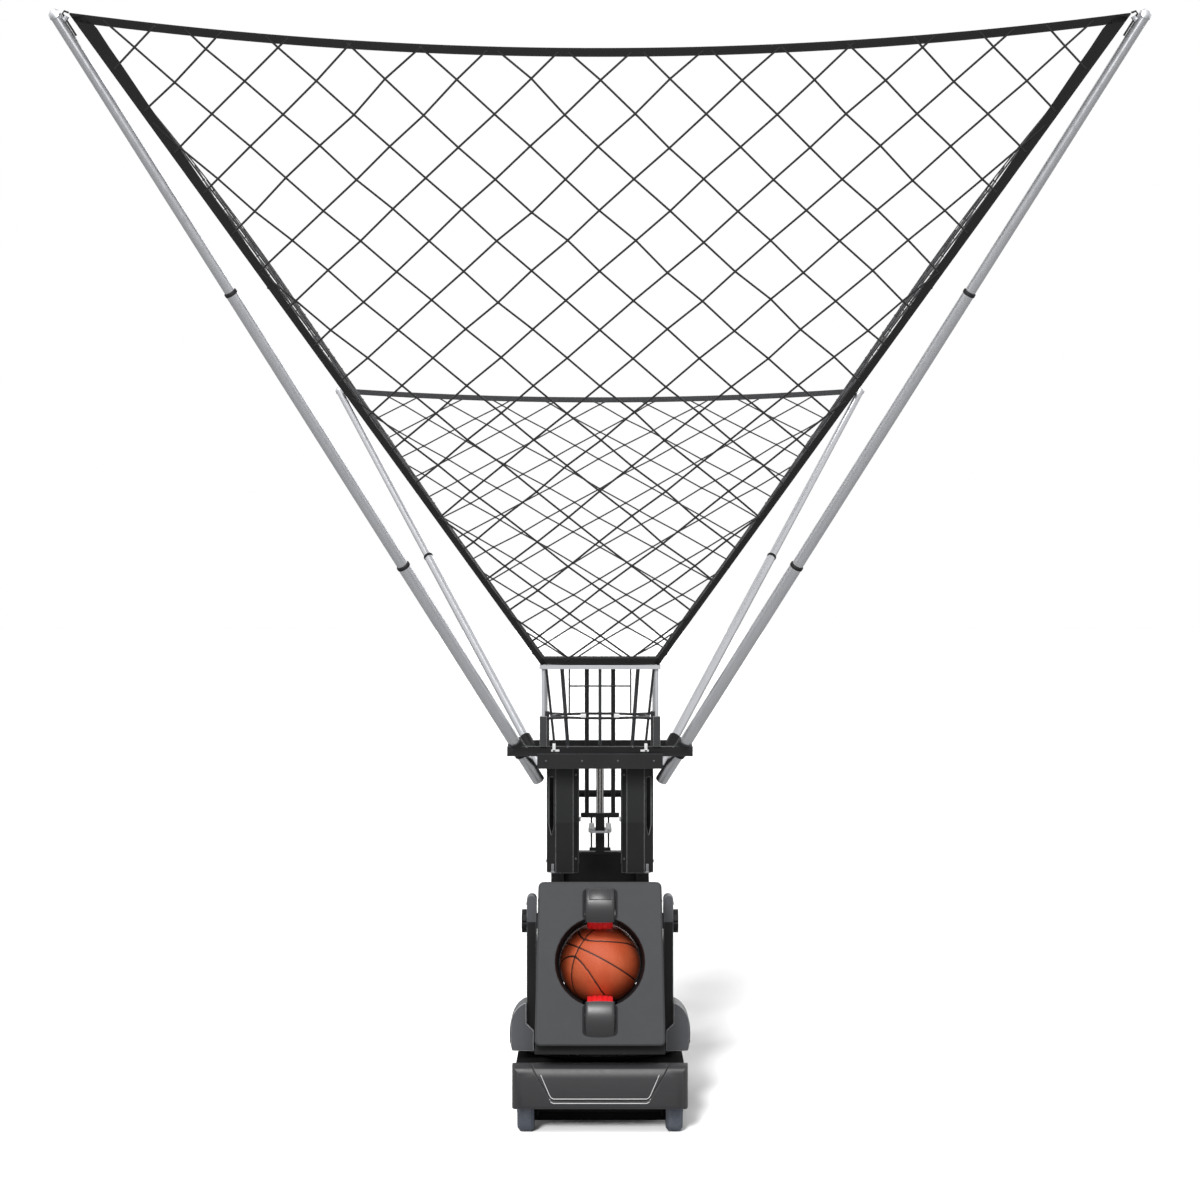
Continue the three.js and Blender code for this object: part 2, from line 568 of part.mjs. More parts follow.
function wheelMotor() {
  const end = shell.halfWidth - sheet - gap;
  const can = rod([motor.from, 0, 0], [end, 0, 0], motor.radius, side.round);
  const flange = span(end - sheet, end, -motor.radius - sheet, motor.radius + sheet, -motor.radius, motor.radius);
  const bore = rod([motor.from - overrun, 0, 0], [motor.from + 3 * wheel.shaft, 0, 0], motor.bore, side.pole);
  return cut(join(can, flange), bore);
}

// A trough under the ball, on two ribs, with the pusher's rail below its slot and a guard across its rear end
function feedTray() {
  const inner = ball.radius + gap;
  const outer = inner + tray.wall;
  const half = THREE.MathUtils.degToRad(tray.arc);
  const arc = new THREE.Shape();
  arc.absarc(0, -pivot.drop, outer, -Math.PI / 2 - half, -Math.PI / 2 + half, false);
  arc.absarc(0, -pivot.drop, inner, -Math.PI / 2 + half, -Math.PI / 2 - half, true);
  arc.closePath();
  const trough = frontal(arc, -tray.from, tray.to, side.round);
  const slot = span(-tray.slot / 2, tray.slot / 2, tray.slotFrom, tray.to + overrun,
    -pivot.drop - outer - overrun, -pivot.drop - inner + overrun);
  const under = -pivot.drop - outer;
  const ribAt = (y) => cut(
    span(-tray.ribHalf, tray.ribHalf, y, y + tray.rib, shellBottom + sheet + gap,
      -pivot.drop - inner * Math.cos(half)),
    rod([0, y - overrun, -pivot.drop], [0, y + tray.rib + overrun, -pivot.drop], (inner + outer) / 2, side.disc));
  const runner = span(-rail.halfWidth, rail.halfWidth, -tray.from / 4, tray.to, under - rail.top - rail.height,
    under - rail.top);
  const hanger = span(-tray.slot, tray.slot, tray.to - tray.rib, tray.to, under - rail.top - rail.height,
    under + tray.wall / 2);
  const back = new THREE.Shape();
  back.absarc(0, -pivot.drop, outer, -Math.PI, 0, false);
  back.lineTo(outer, tray.guardTop - hood.corner);
  back.quadraticCurveTo(outer, tray.guardTop, outer - hood.corner, tray.guardTop);
  back.lineTo(hood.corner - outer, tray.guardTop);
  back.quadraticCurveTo(-outer, tray.guardTop, -outer, tray.guardTop - hood.corner);
  back.closePath();
  const guard = frontal(back, tray.to - tray.rib, tray.to, side.wire);
  return join(cut(trough, slot), ribAt(-tray.from / 2), ribAt(-tray.from / 4), runner, hanger, guard);
}

// A disc behind the ball, on a block that runs along the rail
function ballPusher() {
  const from = ball.radius + 2 * gap - ballAhead;
  const under = -pivot.drop - ball.radius - gap - tray.wall;
  const armTo = from + pusher.arm;
  const disc = rod([0, from, -pivot.drop], [0, from + pusher.thickness, -pivot.drop], pusher.disc, side.wheel);
  const arm = span(pusher.armPlay - tray.slot / 2, tray.slot / 2 - pusher.armPlay, from, armTo, under - rail.top,
    -pivot.drop);
  const block = span(-pusher.block, pusher.block, armTo - pusher.blockLength, armTo,
    under - rail.top - rail.height - tray.rib, under - gap);
  const bore = span(-rail.halfWidth - gap, rail.halfWidth + gap, armTo - pusher.blockLength - overrun, armTo + overrun,
    under - rail.top - rail.height - gap, under - rail.top + gap);
  return cut(join(disc, arm, block), bore);
}

place(head, "head_face", headFace(), darkPlastic);
place(head, "head_shell", headShell(), darkPlastic);
place(head, "hood_upper", wheelHood(1), darkPlastic);
place(head, "hood_lower", wheelHood(-1), darkPlastic);
place(head, "feed_tray", feedTray(), blackPaint);
place(head, "pusher", ballPusher(), blackPaint);
place(head, "ball", new THREE.SphereGeometry(ball.radius, side.wheel, side.pole), leather,
  [0, -ballAhead, -pivot.drop]);
for (const [name, z] of [["upper", upperWheelZ], ["lower", lowerWheelZ]]) {
  place(head, "throwing_wheel_" + name, throwingWheel(), redRubber, [0, -wheel.ahead, z]);
  place(head, "wheel_motor_" + name, wheelMotor(), blackPaint, [0, -wheel.ahead, z]);
}

// Feed column, platform and arms

// One folded channel of the column: a side wall with a flange to the front and one to the rear
function columnChannel() {
  const { chamfer, openingHalf, lip, bottom } = column;
  const outer = [
    [openingHalf, columnDepth], [columnHalf - chamfer, columnDepth], [columnHalf, columnDepth - chamfer],
    [columnHalf, chamfer - columnDepth], [columnHalf - chamfer, -columnDepth], [openingHalf + lip, -columnDepth],
    [openingHalf, lip - columnDepth],
  ];
  const back = [
    [openingHalf + sheet, lip + sheet / 2 - columnDepth], [openingHalf + lip + sheet / 2, sheet - columnDepth],
    [columnHalf - chamfer - sheet / 2, sheet - columnDepth], [columnHalf - sheet, chamfer + sheet / 2 - columnDepth],
    [columnHalf - sheet, columnDepth - chamfer - sheet / 2], [columnHalf - chamfer - sheet / 2, columnDepth - sheet],
    [openingHalf, columnDepth - sheet],
  ];
  // A tapering slot in the folded corner
  const { slotFrom, slotTo, slotBelow, slotLength, slotTip } = column;
  const slotTop = platform.underside - slotBelow;
  const slot = frontal(outline([
    [columnHalf - slotFrom, slotTop], [columnHalf - slotTo, slotTop], [columnHalf - slotTo, slotTop - slotLength],
    [columnHalf - (slotFrom + slotTo) / 2, slotTop - slotLength - slotTip],
    [columnHalf - slotFrom, slotTop - slotLength],
  ]), -columnDepth - overrun, chamfer - columnDepth);
  return cut(raised(outline([...outer, ...back]), bottom, platform.underside - gap), slot);
}

function platformPlate() {
  const rear = mastBack + sheet;
  const plate = span(-platformHalf, platformHalf, -platform.front, rear, platform.underside, platformTop);
  const lip = (x) => span(x, x + sheet, -platform.front, rear, platform.underside - platform.lipSide, platformTop);
  const front = raised(rectangle(-platformHalf, platformHalf, -platform.front - apron.thickness, -platform.front),
    apron.bottom, apron.top);
  const hole = rod([0, 0, platform.underside - overrun], [0, 0, platformTop + overrun], throat, side.disc);
  const rodSlot = span(-guide.track - guide.radius - guide.slotPlay, guide.track + guide.radius + guide.slotPlay,
    guide.behind - guide.radius - guide.slotPlay, guide.behind + guide.radius + guide.slotPlay,
    platform.underside - overrun, platformTop + overrun);
  return cut(join(plate, lip(-platformHalf), lip(platformHalf - sheet), front), hole, rodSlot);
}

// Points on a pole's line, at a distance from its foot towards its tip
function poleLine({ foot, tip }) {
  const start = new THREE.Vector3(...foot);
  const along = new THREE.Vector3(...tip).sub(start);
  const length = along.length();
  along.normalize();
  return { length, at: (distance) => start.clone().addScaledVector(along, distance).toArray() };
}

const mirrored = ([x, y, z]) => [-x, y, z];

function poleSockets(poles) {
  const line = poleLine(poles);
  const outer = poles.radii[0] + gap + socket.wall;
  const ends = [line.at(-socket.below), line.at(socket.above)];
  const bore = [line.at(-poleFront.tail), line.at(socket.above + overrun)];
  return {
    sleeves: [rod(...ends, outer, side.pole), rod(...ends.map(mirrored), outer, side.pole)],
    bores: [rod(...bore, poles.radii[0] + gap, side.pole), rod(...bore.map(mirrored), poles.radii[0] + gap, side.pole)],
  };
}

function frontCrossArm() {
  const { halfWidth, height, depth, ahead, wall } = frontArm;
  const bottom = platformTop + gap;
  const bar = span(-halfWidth, halfWidth, -ahead - depth / 2, depth / 2 - ahead, bottom, bottom + height);
  const bore = span(-halfWidth - overrun, halfWidth + overrun, wall - ahead - depth / 2, depth / 2 - wall - ahead,
    bottom + wall, bottom + height - wall);
  const { sleeves, bores } = poleSockets(poleFront);
  return cut(join(bar, ...sleeves), bore, ...bores);
}

function rearCrossArm() {
  const bottom = platformTop + gap;
  const bar = span(-rearArm.halfWidth, rearArm.halfWidth, mast.behind - rearArm.depth / 2,
    mast.behind + rearArm.depth / 2, bottom, bottom + rearArm.height);
  const { sleeves, bores } = poleSockets(poleRear);
  return cut(join(bar, ...sleeves), ...bores);
}

placePair(base, "column", columnChannel(), greyPaint);
place(base, "platform", platformPlate(), blackPaint);
place(base, "front_arm", frontCrossArm(), blackPaint);
place(base, "rear_arm", rearCrossArm(), blackPaint);

// Cage

// A square of bars on four posts. The net hangs its lower edge on the bars
function topFrame() {
  const { top, half, bar, post, postBox, postBoxTop, postRadius } = cage;
  const bottom = platformTop + gap;
  const outer = half + bar / 2;
  const square = cut(span(-outer, outer, -outer, outer, top - bar, top),
    span(-cageInner, cageInner, -cageInner, cageInner, top - bar - overrun, top + overrun));
  const posts = [-post, post].flatMap((x) => [-post, post].flatMap((y) => [
    span(x - postBox / 2, x + postBox / 2, y - postBox / 2, y + postBox / 2,
      y < 0 ? bottom + frontArm.height + gap : bottom, postBoxTop),
    rod([x, y, postBoxTop - postBox / 2], [x, y, top - bar / 2], postRadius),
  ]));
  return join(square, ...posts);
}

// Eight wires in a cone between two rings, with a third ring half way that four stays hold to the posts.
// Behind, two thin uprights and a cross wire close the wider gaps
function wireBasket() {
  const { wire, fine, ringHeight, wireHeight, count, struts } = basket;
  const topRadius = cageInner - gap - wire;
  const bottomRadius = throat + wire;
  const topZ = cage.top - cage.bar / 2;
  const bottomZ = platformTop + gap + wire;
  const [ringZ, wireZ] = [platformTop + ringHeight, platformTop + wireHeight];
  const radiusAt = (z) => bottomRadius + ((topRadius - bottomRadius) * (z - bottomZ)) / (topZ - bottomZ);
  const strut = (i) => {
    const angle = (i * 2 * Math.PI) / count;
    const at = (radius, z) => [radius * Math.cos(angle), radius * Math.sin(angle), z];
    return rod(at(bottomRadius, bottomZ), at(topRadius, topZ), wire, side.wire);
  };
  const behind = (x, z) => [x, Math.sqrt(radiusAt(z) ** 2 - struts ** 2), z];
  const uprights = [-struts, struts].map((x) => rod(behind(x, ringZ), behind(x, topZ), fine, side.wire));
  const cross = rod(behind(-struts, wireZ), behind(struts, wireZ), fine, side.wire);
  const inner = radiusAt(ringZ) / Math.SQRT2;
  const outer = cage.post - cage.postBox / 2 - gap;
  const stays = [-1, 1].flatMap((i) => [-1, 1].map((k) =>
    rod([i * inner, k * inner, ringZ], [i * outer, k * outer, ringZ], wire, side.wire)));
  return join(ring(topRadius, wire, topZ), ring(bottomRadius, wire, bottomZ), ring(radiusAt(ringZ), wire, ringZ),
    ...Array.from({ length: count }, (_, i) => strut(i)), ...uprights, cross, ...stays);
}

// Two fixed rods behind the column, tied at both ends, with a light cradle of wires for the gate and a plate
// with a cross bar before it
function guideFrame() {
  const { track, behind, radius, tie, tieHeight, tieHalf } = guide;
  const { plateHalf, plateFoot, plateAhead, plateThickness, crossHeight } = guide;
  const top = cage.top - cage.bar;
  const boltTo = cage.half + cage.bar / 2 + gap;
  const rods = [-track, track].map((x) => rod([x, behind, tie], [x, behind, top + cage.bar / 2], radius, side.pole));
  const bridge = span(-track - radius, track + radius, boltTo, behind + radius, top, cage.top);
  const lower = span(-tieHalf, tieHalf, behind - radius, behind + radius, tie - tieHeight / 2, tie + tieHeight / 2);
  const wires = [-shuttle.track, shuttle.track].map((x) =>
    rod([x, behind, shuttle.foot], [x, behind, tie], shuttle.wire));
  const foot = span(-shuttle.track - radius, shuttle.track + radius, behind - radius / 2, behind + radius / 2,
    shuttle.foot - radius, shuttle.foot + radius / 2);
  const screwBore = rod([0, behind, shuttle.foot - radius - overrun], [0, behind, cage.top + overrun],
    screw.radius + gap, side.pole);
  const plateFrom = behind - plateAhead;
  const plate = span(-plateHalf, plateHalf, plateFrom, plateFrom + plateThickness, plateFoot, tie + tieHeight / 2);
  const ledge = span(-plateHalf, plateHalf, plateFrom, behind, tie - tieHeight / 2, tie + tieHeight / 2);
  const crossBar = span(-tieHalf, tieHalf, plateFrom, plateFrom + plateThickness, plateFoot, plateFoot + crossHeight);
  return cut(join(...rods, bridge, lower, ...wires, foot, plate, ledge, crossBar), screwBore);
}

// The screw that raises and lowers the gate, in a polished collar over the tie
function leadScrew() {
  const { tie, tieHeight, behind } = guide;
  const collarFrom = tie + tieHeight / 2 + gap;
  return join(rod([0, behind, shuttle.foot - guide.radius], [0, behind, cage.top], screw.radius, side.pole),
    rod([0, behind, collarFrom], [0, behind, screw.collarTop], screw.collar, side.pole));
}

// The gate: a nut block on the two wires, with two fingers that reach into the column and hold the next ball
function gateShuttle() {
  const { track, wire, at, height, finger, fingerWidth } = shuttle;
  const { behind, radius } = guide;
  const half = track + wire + radius;
  const block = span(-half, half, behind - radius, behind + radius, at - height / 2, at + height / 2);
  const fingers = [-1, 1].map((i) => span(i * track - fingerWidth / 2, i * track + fingerWidth / 2,
    behind - radius - finger, behind, at - height / 4, at + height / 4));
  const tip = span(-track - fingerWidth / 2, track + fingerWidth / 2, behind - radius - finger,
    behind - radius - finger + fingerWidth, at - height / 4, at + height / 4);
  const bores = [-track, track].map((x) => rod([x, behind, at - height], [x, behind, at + height], wire + gap));
  const nut = rod([0, behind, at - height], [0, behind, at + height], screw.radius + gap, side.pole);
  return cut(join(block, ...fingers, tip), ...bores, nut);
}

place(base, "top_frame", topFrame(), greyPaint);
place(base, "basket", wireBasket(), greyPaint);
place(base, "guide_frame", guideFrame(), blackPaint);
place(base, "lead_screw", leadScrew(), steel);
place(base, "gate_shuttle", gateShuttle(), steel);

// Poles

// One section of a pole, hollow, from one distance to another along the pole's line
function poleSection(poles, from, to, radius) {
  const { at } = poleLine(poles);
  const bore = rod(at(from - overrun), at(to + overrun), radius - pole.wall, side.pole);
  return cut(rod(at(from), at(to), radius, side.pole), bore);
}

// The last section ends in a round cap, and its clip reaches to the corner of the net
function poleEnd(poles, from, radius, corner) {
  const { at, length } = poleLine(poles);
  const tip = new THREE.Vector3(...at(length));
  const cap = new THREE.SphereGeometry(radius + pole.cap, side.small, side.wire).translate(...tip.toArray());
  const root = at(length - 2 * radius);
  const reach = new THREE.Vector3(...corner).sub(new THREE.Vector3(...root));
  const clipEnd = reach.clone().setLength(reach.length() - pole.clipBelow).add(new THREE.Vector3(...root));
  const bore = rod(at(from - overrun), at(length - 3 * radius), radius - pole.wall, side.pole);
  const tube = cut(rod(at(from), at(length), radius, side.pole), bore);
  return join(tube, cap, rod(root, clipEnd.toArray(), pole.clip));
}

function placePole(name, poles, sectionNames, material, corner) {
  const starts = [-poles.tail, ...poles.joints.map((joint) => joint - pole.nest)];
  sectionNames.forEach((section, i) => {
    const last = i === sectionNames.length - 1;
    const radius = poles.radii[i];
    const geometry = last ? poleEnd(poles, starts[i], radius, corner)
      : poleSection(poles, starts[i], poles.joints[i], radius);
    placePair(base, name + "_" + section, geometry, material);
  });
}

// Where two panels of the net meet at a pole's tip
const netCorner = ([x, y, z], inset) => [x - inset, y - Math.sign(y) * inset / 4, z + inset / 4];
const frontCorner = netCorner(poleFront.tip, net.frontInset);
const rearCorner = netCorner(poleRear.tip, net.rearInset);
placePole("front_pole", poleFront, ["lower", "middle", "upper"], aluminium, frontCorner);
placePole("rear_pole", poleRear, ["lower", "upper"], aluminium, rearCorner);

// Net

// One panel between four corners, given as seen from outside: its cords cross in diamonds inside a band.
// The panel is drawn flat, and the flat drawing is then laid on the skewed surface between the corners, which
// the pull of its cords may bow inwards.
function netPanel(bottomLeft, bottomRight, topRight, topLeft, sag, bow = 0) {
  const corners = [bottomLeft, bottomRight, topRight, topLeft].map((point) => new THREE.Vector3(...point));
  const [a, b, c, d] = corners;
  const right = b.clone().sub(a).normalize();
  const normal = c.clone().sub(a).cross(d.clone().sub(b)).normalize();
  right.addScaledVector(normal, -right.dot(normal)).normalize();
  const up = normal.clone().cross(right);
  const centre = corners.reduce((sum, point) => sum.add(point), new THREE.Vector3()).multiplyScalar(1 / 4);
  const flat = corners.map((point) => {
    const from = point.clone().sub(centre);
    return new THREE.Vector2(from.dot(right), from.dot(up));
  });

  // The border line, moved inwards by a width for each side, with the top edge sagging between its corners
  const borderLine = (bottom, sides, top) => {
    const insets = [bottom, sides, top, sides];
    const lines = flat.map((start, i) => {
      const end = flat[(i + 1) % 4];
      const along = end.clone().sub(start).normalize();
      const inwards = new THREE.Vector2(-along.y, along.x);
      return { start: start.clone().addScaledVector(inwards, insets[i]), along };
    });
    const crossing = (first, second) => {
      const between = second.start.clone().sub(first.start);
      const t = between.cross(second.along) / first.along.cross(second.along);
      return first.start.clone().addScaledVector(first.along, t);
    };
    const [p0, p1, p2, p3] = [3, 0, 1, 2].map((i, k) => crossing(lines[i], lines[k]));
    const steps = side.small;
    const sagging = Array.from({ length: steps - 1 }, (_, i) => {
      const share = (i + 1) / steps;
      const point = p2.clone().lerp(p3, share);
      point.y -= 4 * sag * share * (1 - share);
      return point;
    });
    return [p0, p1, p2, ...sagging, p3];
  };
  const shape = new THREE.Shape(borderLine(0, net.seamInset, net.seamInset));
  const inner = borderLine(net.bottomBand, net.seamInset + net.band, net.seamInset + net.band);

  const [halfAcross, halfAlong] = [net.across / 2, net.along / 2];
  const edge = Math.hypot(halfAcross, halfAlong);
  const shrink = 1 - (net.cord / 2) * (edge / (halfAcross * halfAlong));
  const bounds = new THREE.Box2().setFromPoints(inner);
  const rows = Math.ceil((bounds.max.y - bounds.min.y) / halfAlong) + 1;
  const columns = Math.ceil(Math.max(-bounds.min.x, bounds.max.x) / net.across) + 1;
  const least = net.leastShare * 2 * halfAcross * halfAlong;
  const openings = [];
  for (let row = 0; row <= rows; row++) {
    for (let column = -columns; column <= columns; column++) {
      const x = (column + (row % 2) / 2) * net.across;
      const y = bounds.min.y + row * halfAlong;
      const opening = clippedByDiamond(inner, x, y, halfAcross * shrink, halfAlong * shrink);
      if (opening.length > 2 && Math.abs(THREE.ShapeUtils.area(opening)) > least) {
        openings.push(raised(new THREE.Shape(opening), -overrun, net.thick + overrun));
      }
    }
  }

  const geometry = cut(raised(shape, 0, net.thick), ...openings);
  const position = geometry.getAttribute("position");
  const point = new THREE.Vector3();
  for (let i = 0; i < position.count; i++) {
    point.fromBufferAttribute(position, i);
    const { across, along } = sharesOf(flat, point.x, point.y);
    const skew = corners.reduce((sum, corner, k) => {
      const weight = (k === 1 || k === 2 ? across : 1 - across) * (k > 1 ? along : 1 - along);
      return sum + weight * corner.clone().sub(centre).dot(normal);
    }, 0);
    const belly = 4 * bow * across * (1 - across) * along;
    const lift = skew - belly + point.z - net.thick / 2;
    const placed = centre.clone().addScaledVector(right, point.x).addScaledVector(up, point.y);
    placed.addScaledVector(normal, lift);
    position.setXYZ(i, ...placed.toArray());
  }
  // Its lower edge is seated on the cage
  geometry.computeBoundingBox();
  return geometry.translate(0, 0, netFoot - geometry.boundingBox.min.z);
}

// What is left of an outline inside a diamond
function clippedByDiamond(points, x, y, halfAcross, halfAlong) {
  const tips = [[x + halfAcross, y], [x, y + halfAlong], [x - halfAcross, y], [x, y - halfAlong]];
  let left = points;
  tips.forEach(([x0, y0], i) => {
    const [x1, y1] = tips[(i + 1) % tips.length];
    const inside = (p) => (x1 - x0) * (p.y - y0) - (y1 - y0) * (p.x - x0);
    const kept = [];
    left.forEach((p, k) => {
      const q = left[(k + 1) % left.length];
      const [s, t] = [inside(p), inside(q)];
      if (s >= 0) kept.push(p);
      if (s * t < 0) kept.push(p.clone().lerp(q, s / (s - t)));
    });
    left = kept;
  });
  const apart = left.filter((p, k) => p.distanceTo(left[(k + 1) % left.length]) > gap);
  return apart.filter((p, k) => {
    const before = apart[(k + apart.length - 1) % apart.length];
    const chord = apart[(k + 1) % apart.length].clone().sub(before);
    return Math.abs(chord.cross(p.clone().sub(before))) > gap * chord.length();
  });
}

// The shares of the way across and up a four sided outline at which a point lies, found by Newton's steps
function sharesOf([a, b, c, d], x, y) {
  let [across, along] = [0.5, 0.5];
  for (let step = 0; step < 8; step++) {
    const at = (key) => (1 - along) * ((1 - across) * a[key] + across * b[key])
      + along * ((1 - across) * d[key] + across * c[key]);
    const byAcross = (key) => (1 - along) * (b[key] - a[key]) + along * (c[key] - d[key]);
    const byAlong = (key) => (1 - across) * (d[key] - a[key]) + across * (c[key] - b[key]);
    const [dx, dy] = [x - at("x"), y - at("y")];
    const slope = byAcross("x") * byAlong("y") - byAlong("x") * byAcross("y");
    across += (dx * byAlong("y") - dy * byAlong("x")) / slope;
    along += (dy * byAcross("x") - dx * byAcross("y")) / slope;
  }
  return { across, along };
}

const netFoot = cage.top + gap;
const netHalf = cage.half + cage.bar / 2 - net.thick;
const cageCorner = (x, y) => [x * netHalf, y * netHalf, netFoot];
place(base, "net_front", netPanel(cageCorner(-1, -1), cageCorner(1, -1), frontCorner, mirrored(frontCorner),
  net.frontSag), cordage);
place(base, "net_rear", netPanel(cageCorner(1, 1), cageCorner(-1, 1), mirrored(rearCorner), rearCorner,
  net.rearSag), cordage);
placePair(base, "net_side", netPanel(cageCorner(1, -1), cageCorner(1, 1), rearCorner, frontCorner,
  net.sideSag, net.sideBow), cordage);

export default machine;
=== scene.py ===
# %% [markdown]
# # A basketball shooting machine
# The machine catches every shot in a tall net, leads the ball through a wire cage and a feed column to a head
# with two driven wheels, and throws it back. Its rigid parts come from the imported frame, each at its own place.
# This lesson gives them their finishes, and makes the pieces that a frame of plain solids can't show: the
# knotted net and its tapes, the pebbled ball, the moulded covers and the wires. Everything is in metres.

# %% Load the frame
import math

import bmesh
import bpy
import numpy as np
from mathutils import Matrix, Vector
from mathutils.bvhtree import BVHTree


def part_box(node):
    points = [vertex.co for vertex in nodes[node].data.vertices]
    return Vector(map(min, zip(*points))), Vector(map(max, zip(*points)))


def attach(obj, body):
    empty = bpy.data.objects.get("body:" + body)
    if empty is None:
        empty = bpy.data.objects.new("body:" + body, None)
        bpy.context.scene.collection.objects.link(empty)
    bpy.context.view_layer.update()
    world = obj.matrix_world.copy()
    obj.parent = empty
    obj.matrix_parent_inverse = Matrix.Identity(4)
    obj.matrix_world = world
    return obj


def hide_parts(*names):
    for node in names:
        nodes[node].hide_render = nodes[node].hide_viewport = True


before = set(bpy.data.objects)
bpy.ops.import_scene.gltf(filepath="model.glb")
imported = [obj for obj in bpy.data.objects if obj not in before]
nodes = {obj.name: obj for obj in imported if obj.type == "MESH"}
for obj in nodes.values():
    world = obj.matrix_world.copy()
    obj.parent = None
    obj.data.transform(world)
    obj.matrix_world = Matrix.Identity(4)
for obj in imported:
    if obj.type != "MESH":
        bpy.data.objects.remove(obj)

scene = bpy.context.scene
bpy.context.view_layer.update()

# %% [markdown]
# ## The camera
# The picture looks as if it was taken level, from far in front and a little above the cage. How far can't be
# measured in it, so a usual distance was picked. It gives nearly the same overlaps, such as the rear half of the
# net seen through the front one.

# %% Place the camera
camera = bpy.data.objects.new("camera", bpy.data.cameras.new("camera"))
camera.data.lens = 71.58
camera.data.sensor_width = 36
camera.location = (0, -7.5, 1.6)
camera.rotation_euler = (math.radians(90), 0, 0)
scene.collection.objects.link(camera)
scene.camera = camera
scene.view_settings.view_transform = "Standard"
print("camera at", tuple(camera.location))

# %% [markdown]
# ## Writing a material as a formula
# A material is a graph of nodes, and a long graph is hard to read. Two small classes make it short: an Amount
# is one output, and a sum of Amounts adds the Math nodes for it; a Graph adds any other node by its type, its
# settings and its inputs.

# %% Sums of shader nodes
class Amount:
    """One output of a node. A sum on it adds the Math node that works it out."""

    def __init__(self, graph, socket):
        self.graph, self.socket = graph, socket

    def work(self, operation, *values, **settings):
        return self.graph.node("Math", {"operation": operation, **settings}, dict(enumerate(values)))

    def __add__(self, other):
        return self.work("ADD", self, other)

    def __sub__(self, other):
        return self.work("SUBTRACT", self, other)

    def __rsub__(self, other):
        return self.work("SUBTRACT", other, self)

    def __mul__(self, other):
        return self.work("MULTIPLY", self, other)

    def __pow__(self, other):
        return self.work("POWER", self, other)

    __radd__, __rmul__ = __add__, __mul__

    def clipped(self):
        return self.work("ADD", self, 0.0, use_clamp=True)

    def step(self, low, high):
        """0 below low, 1 above high, and smooth between them."""
        return self.graph.node("MapRange", {"interpolation_type": "SMOOTHSTEP"},
                               {"Value": self, "From Min": low, "From Max": high})


class Graph:
    """A tree of shader nodes."""

    def __init__(self, tree):
        self.tree = tree

    def node(self, kind, settings=None, inputs=None, output=0):
        """A node of this kind with its settings, its inputs by name or number, and the output that is wanted."""
        made = self.tree.nodes.new("ShaderNode" + kind)
        for name, value in (settings or {}).items():
            if name == "stops":
                while len(made.color_ramp.elements) < len(value):
                    made.color_ramp.elements.new(0.5)
                for element, (place, colour) in zip(made.color_ramp.elements, value):
                    element.position, element.color = place, colour
            else:
                setattr(made, name, value)
        for name, value in (inputs or {}).items():
            self.feed(made.inputs[name], value)
        return Amount(self, made.outputs[output])

    def feed(self, socket, value):
        if isinstance(value, Amount):
            self.tree.links.new(value.socket, socket)
        else:
            socket.default_value = value

    def place(self, stretch=(1, 1, 1), turn=(0, 0, 0)):
        """The point on the object, turned and stretched."""
        point = self.node("TexCoord", output="Object")
        return self.node("Mapping", inputs={"Vector": point, "Rotation": turn, "Scale": stretch})

    def noise(self, scale, detail=2.0, where=None, roughness=0.5):
        return self.node("TexNoise", inputs={"Vector": where or self.place(), "Scale": scale, "Detail": detail,
                                             "Roughness": roughness})

    def mixed(self, factor, first, second):
        """One colour turning into another."""
        return self.node("Mix", {"data_type": "RGBA"}, {0: factor, 6: first, 7: second}, output=2)


def tone(red, green, blue):
    """A colour as a screen shows it, from 0 to 255."""
    linear = [((v / 255 + 0.055) / 1.055) ** 2.4 if v > 10 else v / 255 / 12.92 for v in (red, green, blue)]
    return (*linear, 1.0)


print("mid grey:", [round(v, 3) for v in tone(128, 128, 128)])

# %% [markdown]
# ## Floor, world and lamps
# The machine stands on a white floor that runs into a white background, with one soft shadow to the right and
# behind it. The background is white only for the camera and for reflections. The light on the machine is plain:
# an even sky, a wide sun from the upper left, and a soft lamp before the middle of the net. A photographer would
# burn the floor out to white in the print. Here a low sun that lights only the floor does that, and its shadow is
# the long soft one behind the machine.

# %% Build the studio
def by_ray(graph, out, kinds, otherwise, seen):
    """One shader for these kinds of ray, and another for the light that falls on the machine."""
    rays = [graph.node("LightPath", output=f"Is {kind} Ray") for kind in kinds]
    chosen = sum(rays[1:], rays[0]).clipped()
    graph.feed(out.inputs[0], graph.node("MixShader", inputs={0: chosen, 1: otherwise, 2: seen}))


scene.world = bpy.data.worlds.new("studio")
scene.world.use_nodes = True
scene.world.node_tree.nodes.clear()
sky = Graph(scene.world.node_tree)
sky_light, seen_sky = (sky.node("Background", inputs={"Color": (1, 1, 1, 1), "Strength": level})
                       for level in (0.46, 1.0))
by_ray(sky, scene.world.node_tree.nodes.new("ShaderNodeOutputWorld"), ("Camera", "Glossy", "Transmission"),
       sky_light, seen_sky)

floor_finish = bpy.data.materials.new("studio_floor")
floor_finish.use_nodes = True
floor_finish.node_tree.nodes.clear()
floor_graph = Graph(floor_finish.node_tree)
dim_floor, white_floor = (floor_graph.node("BsdfDiffuse", inputs={"Color": (shade, shade, shade, 1)})
                          for shade in (0.3, 0.93))
by_ray(floor_graph, floor_finish.node_tree.nodes.new("ShaderNodeOutputMaterial"), ("Camera",), dim_floor, white_floor)

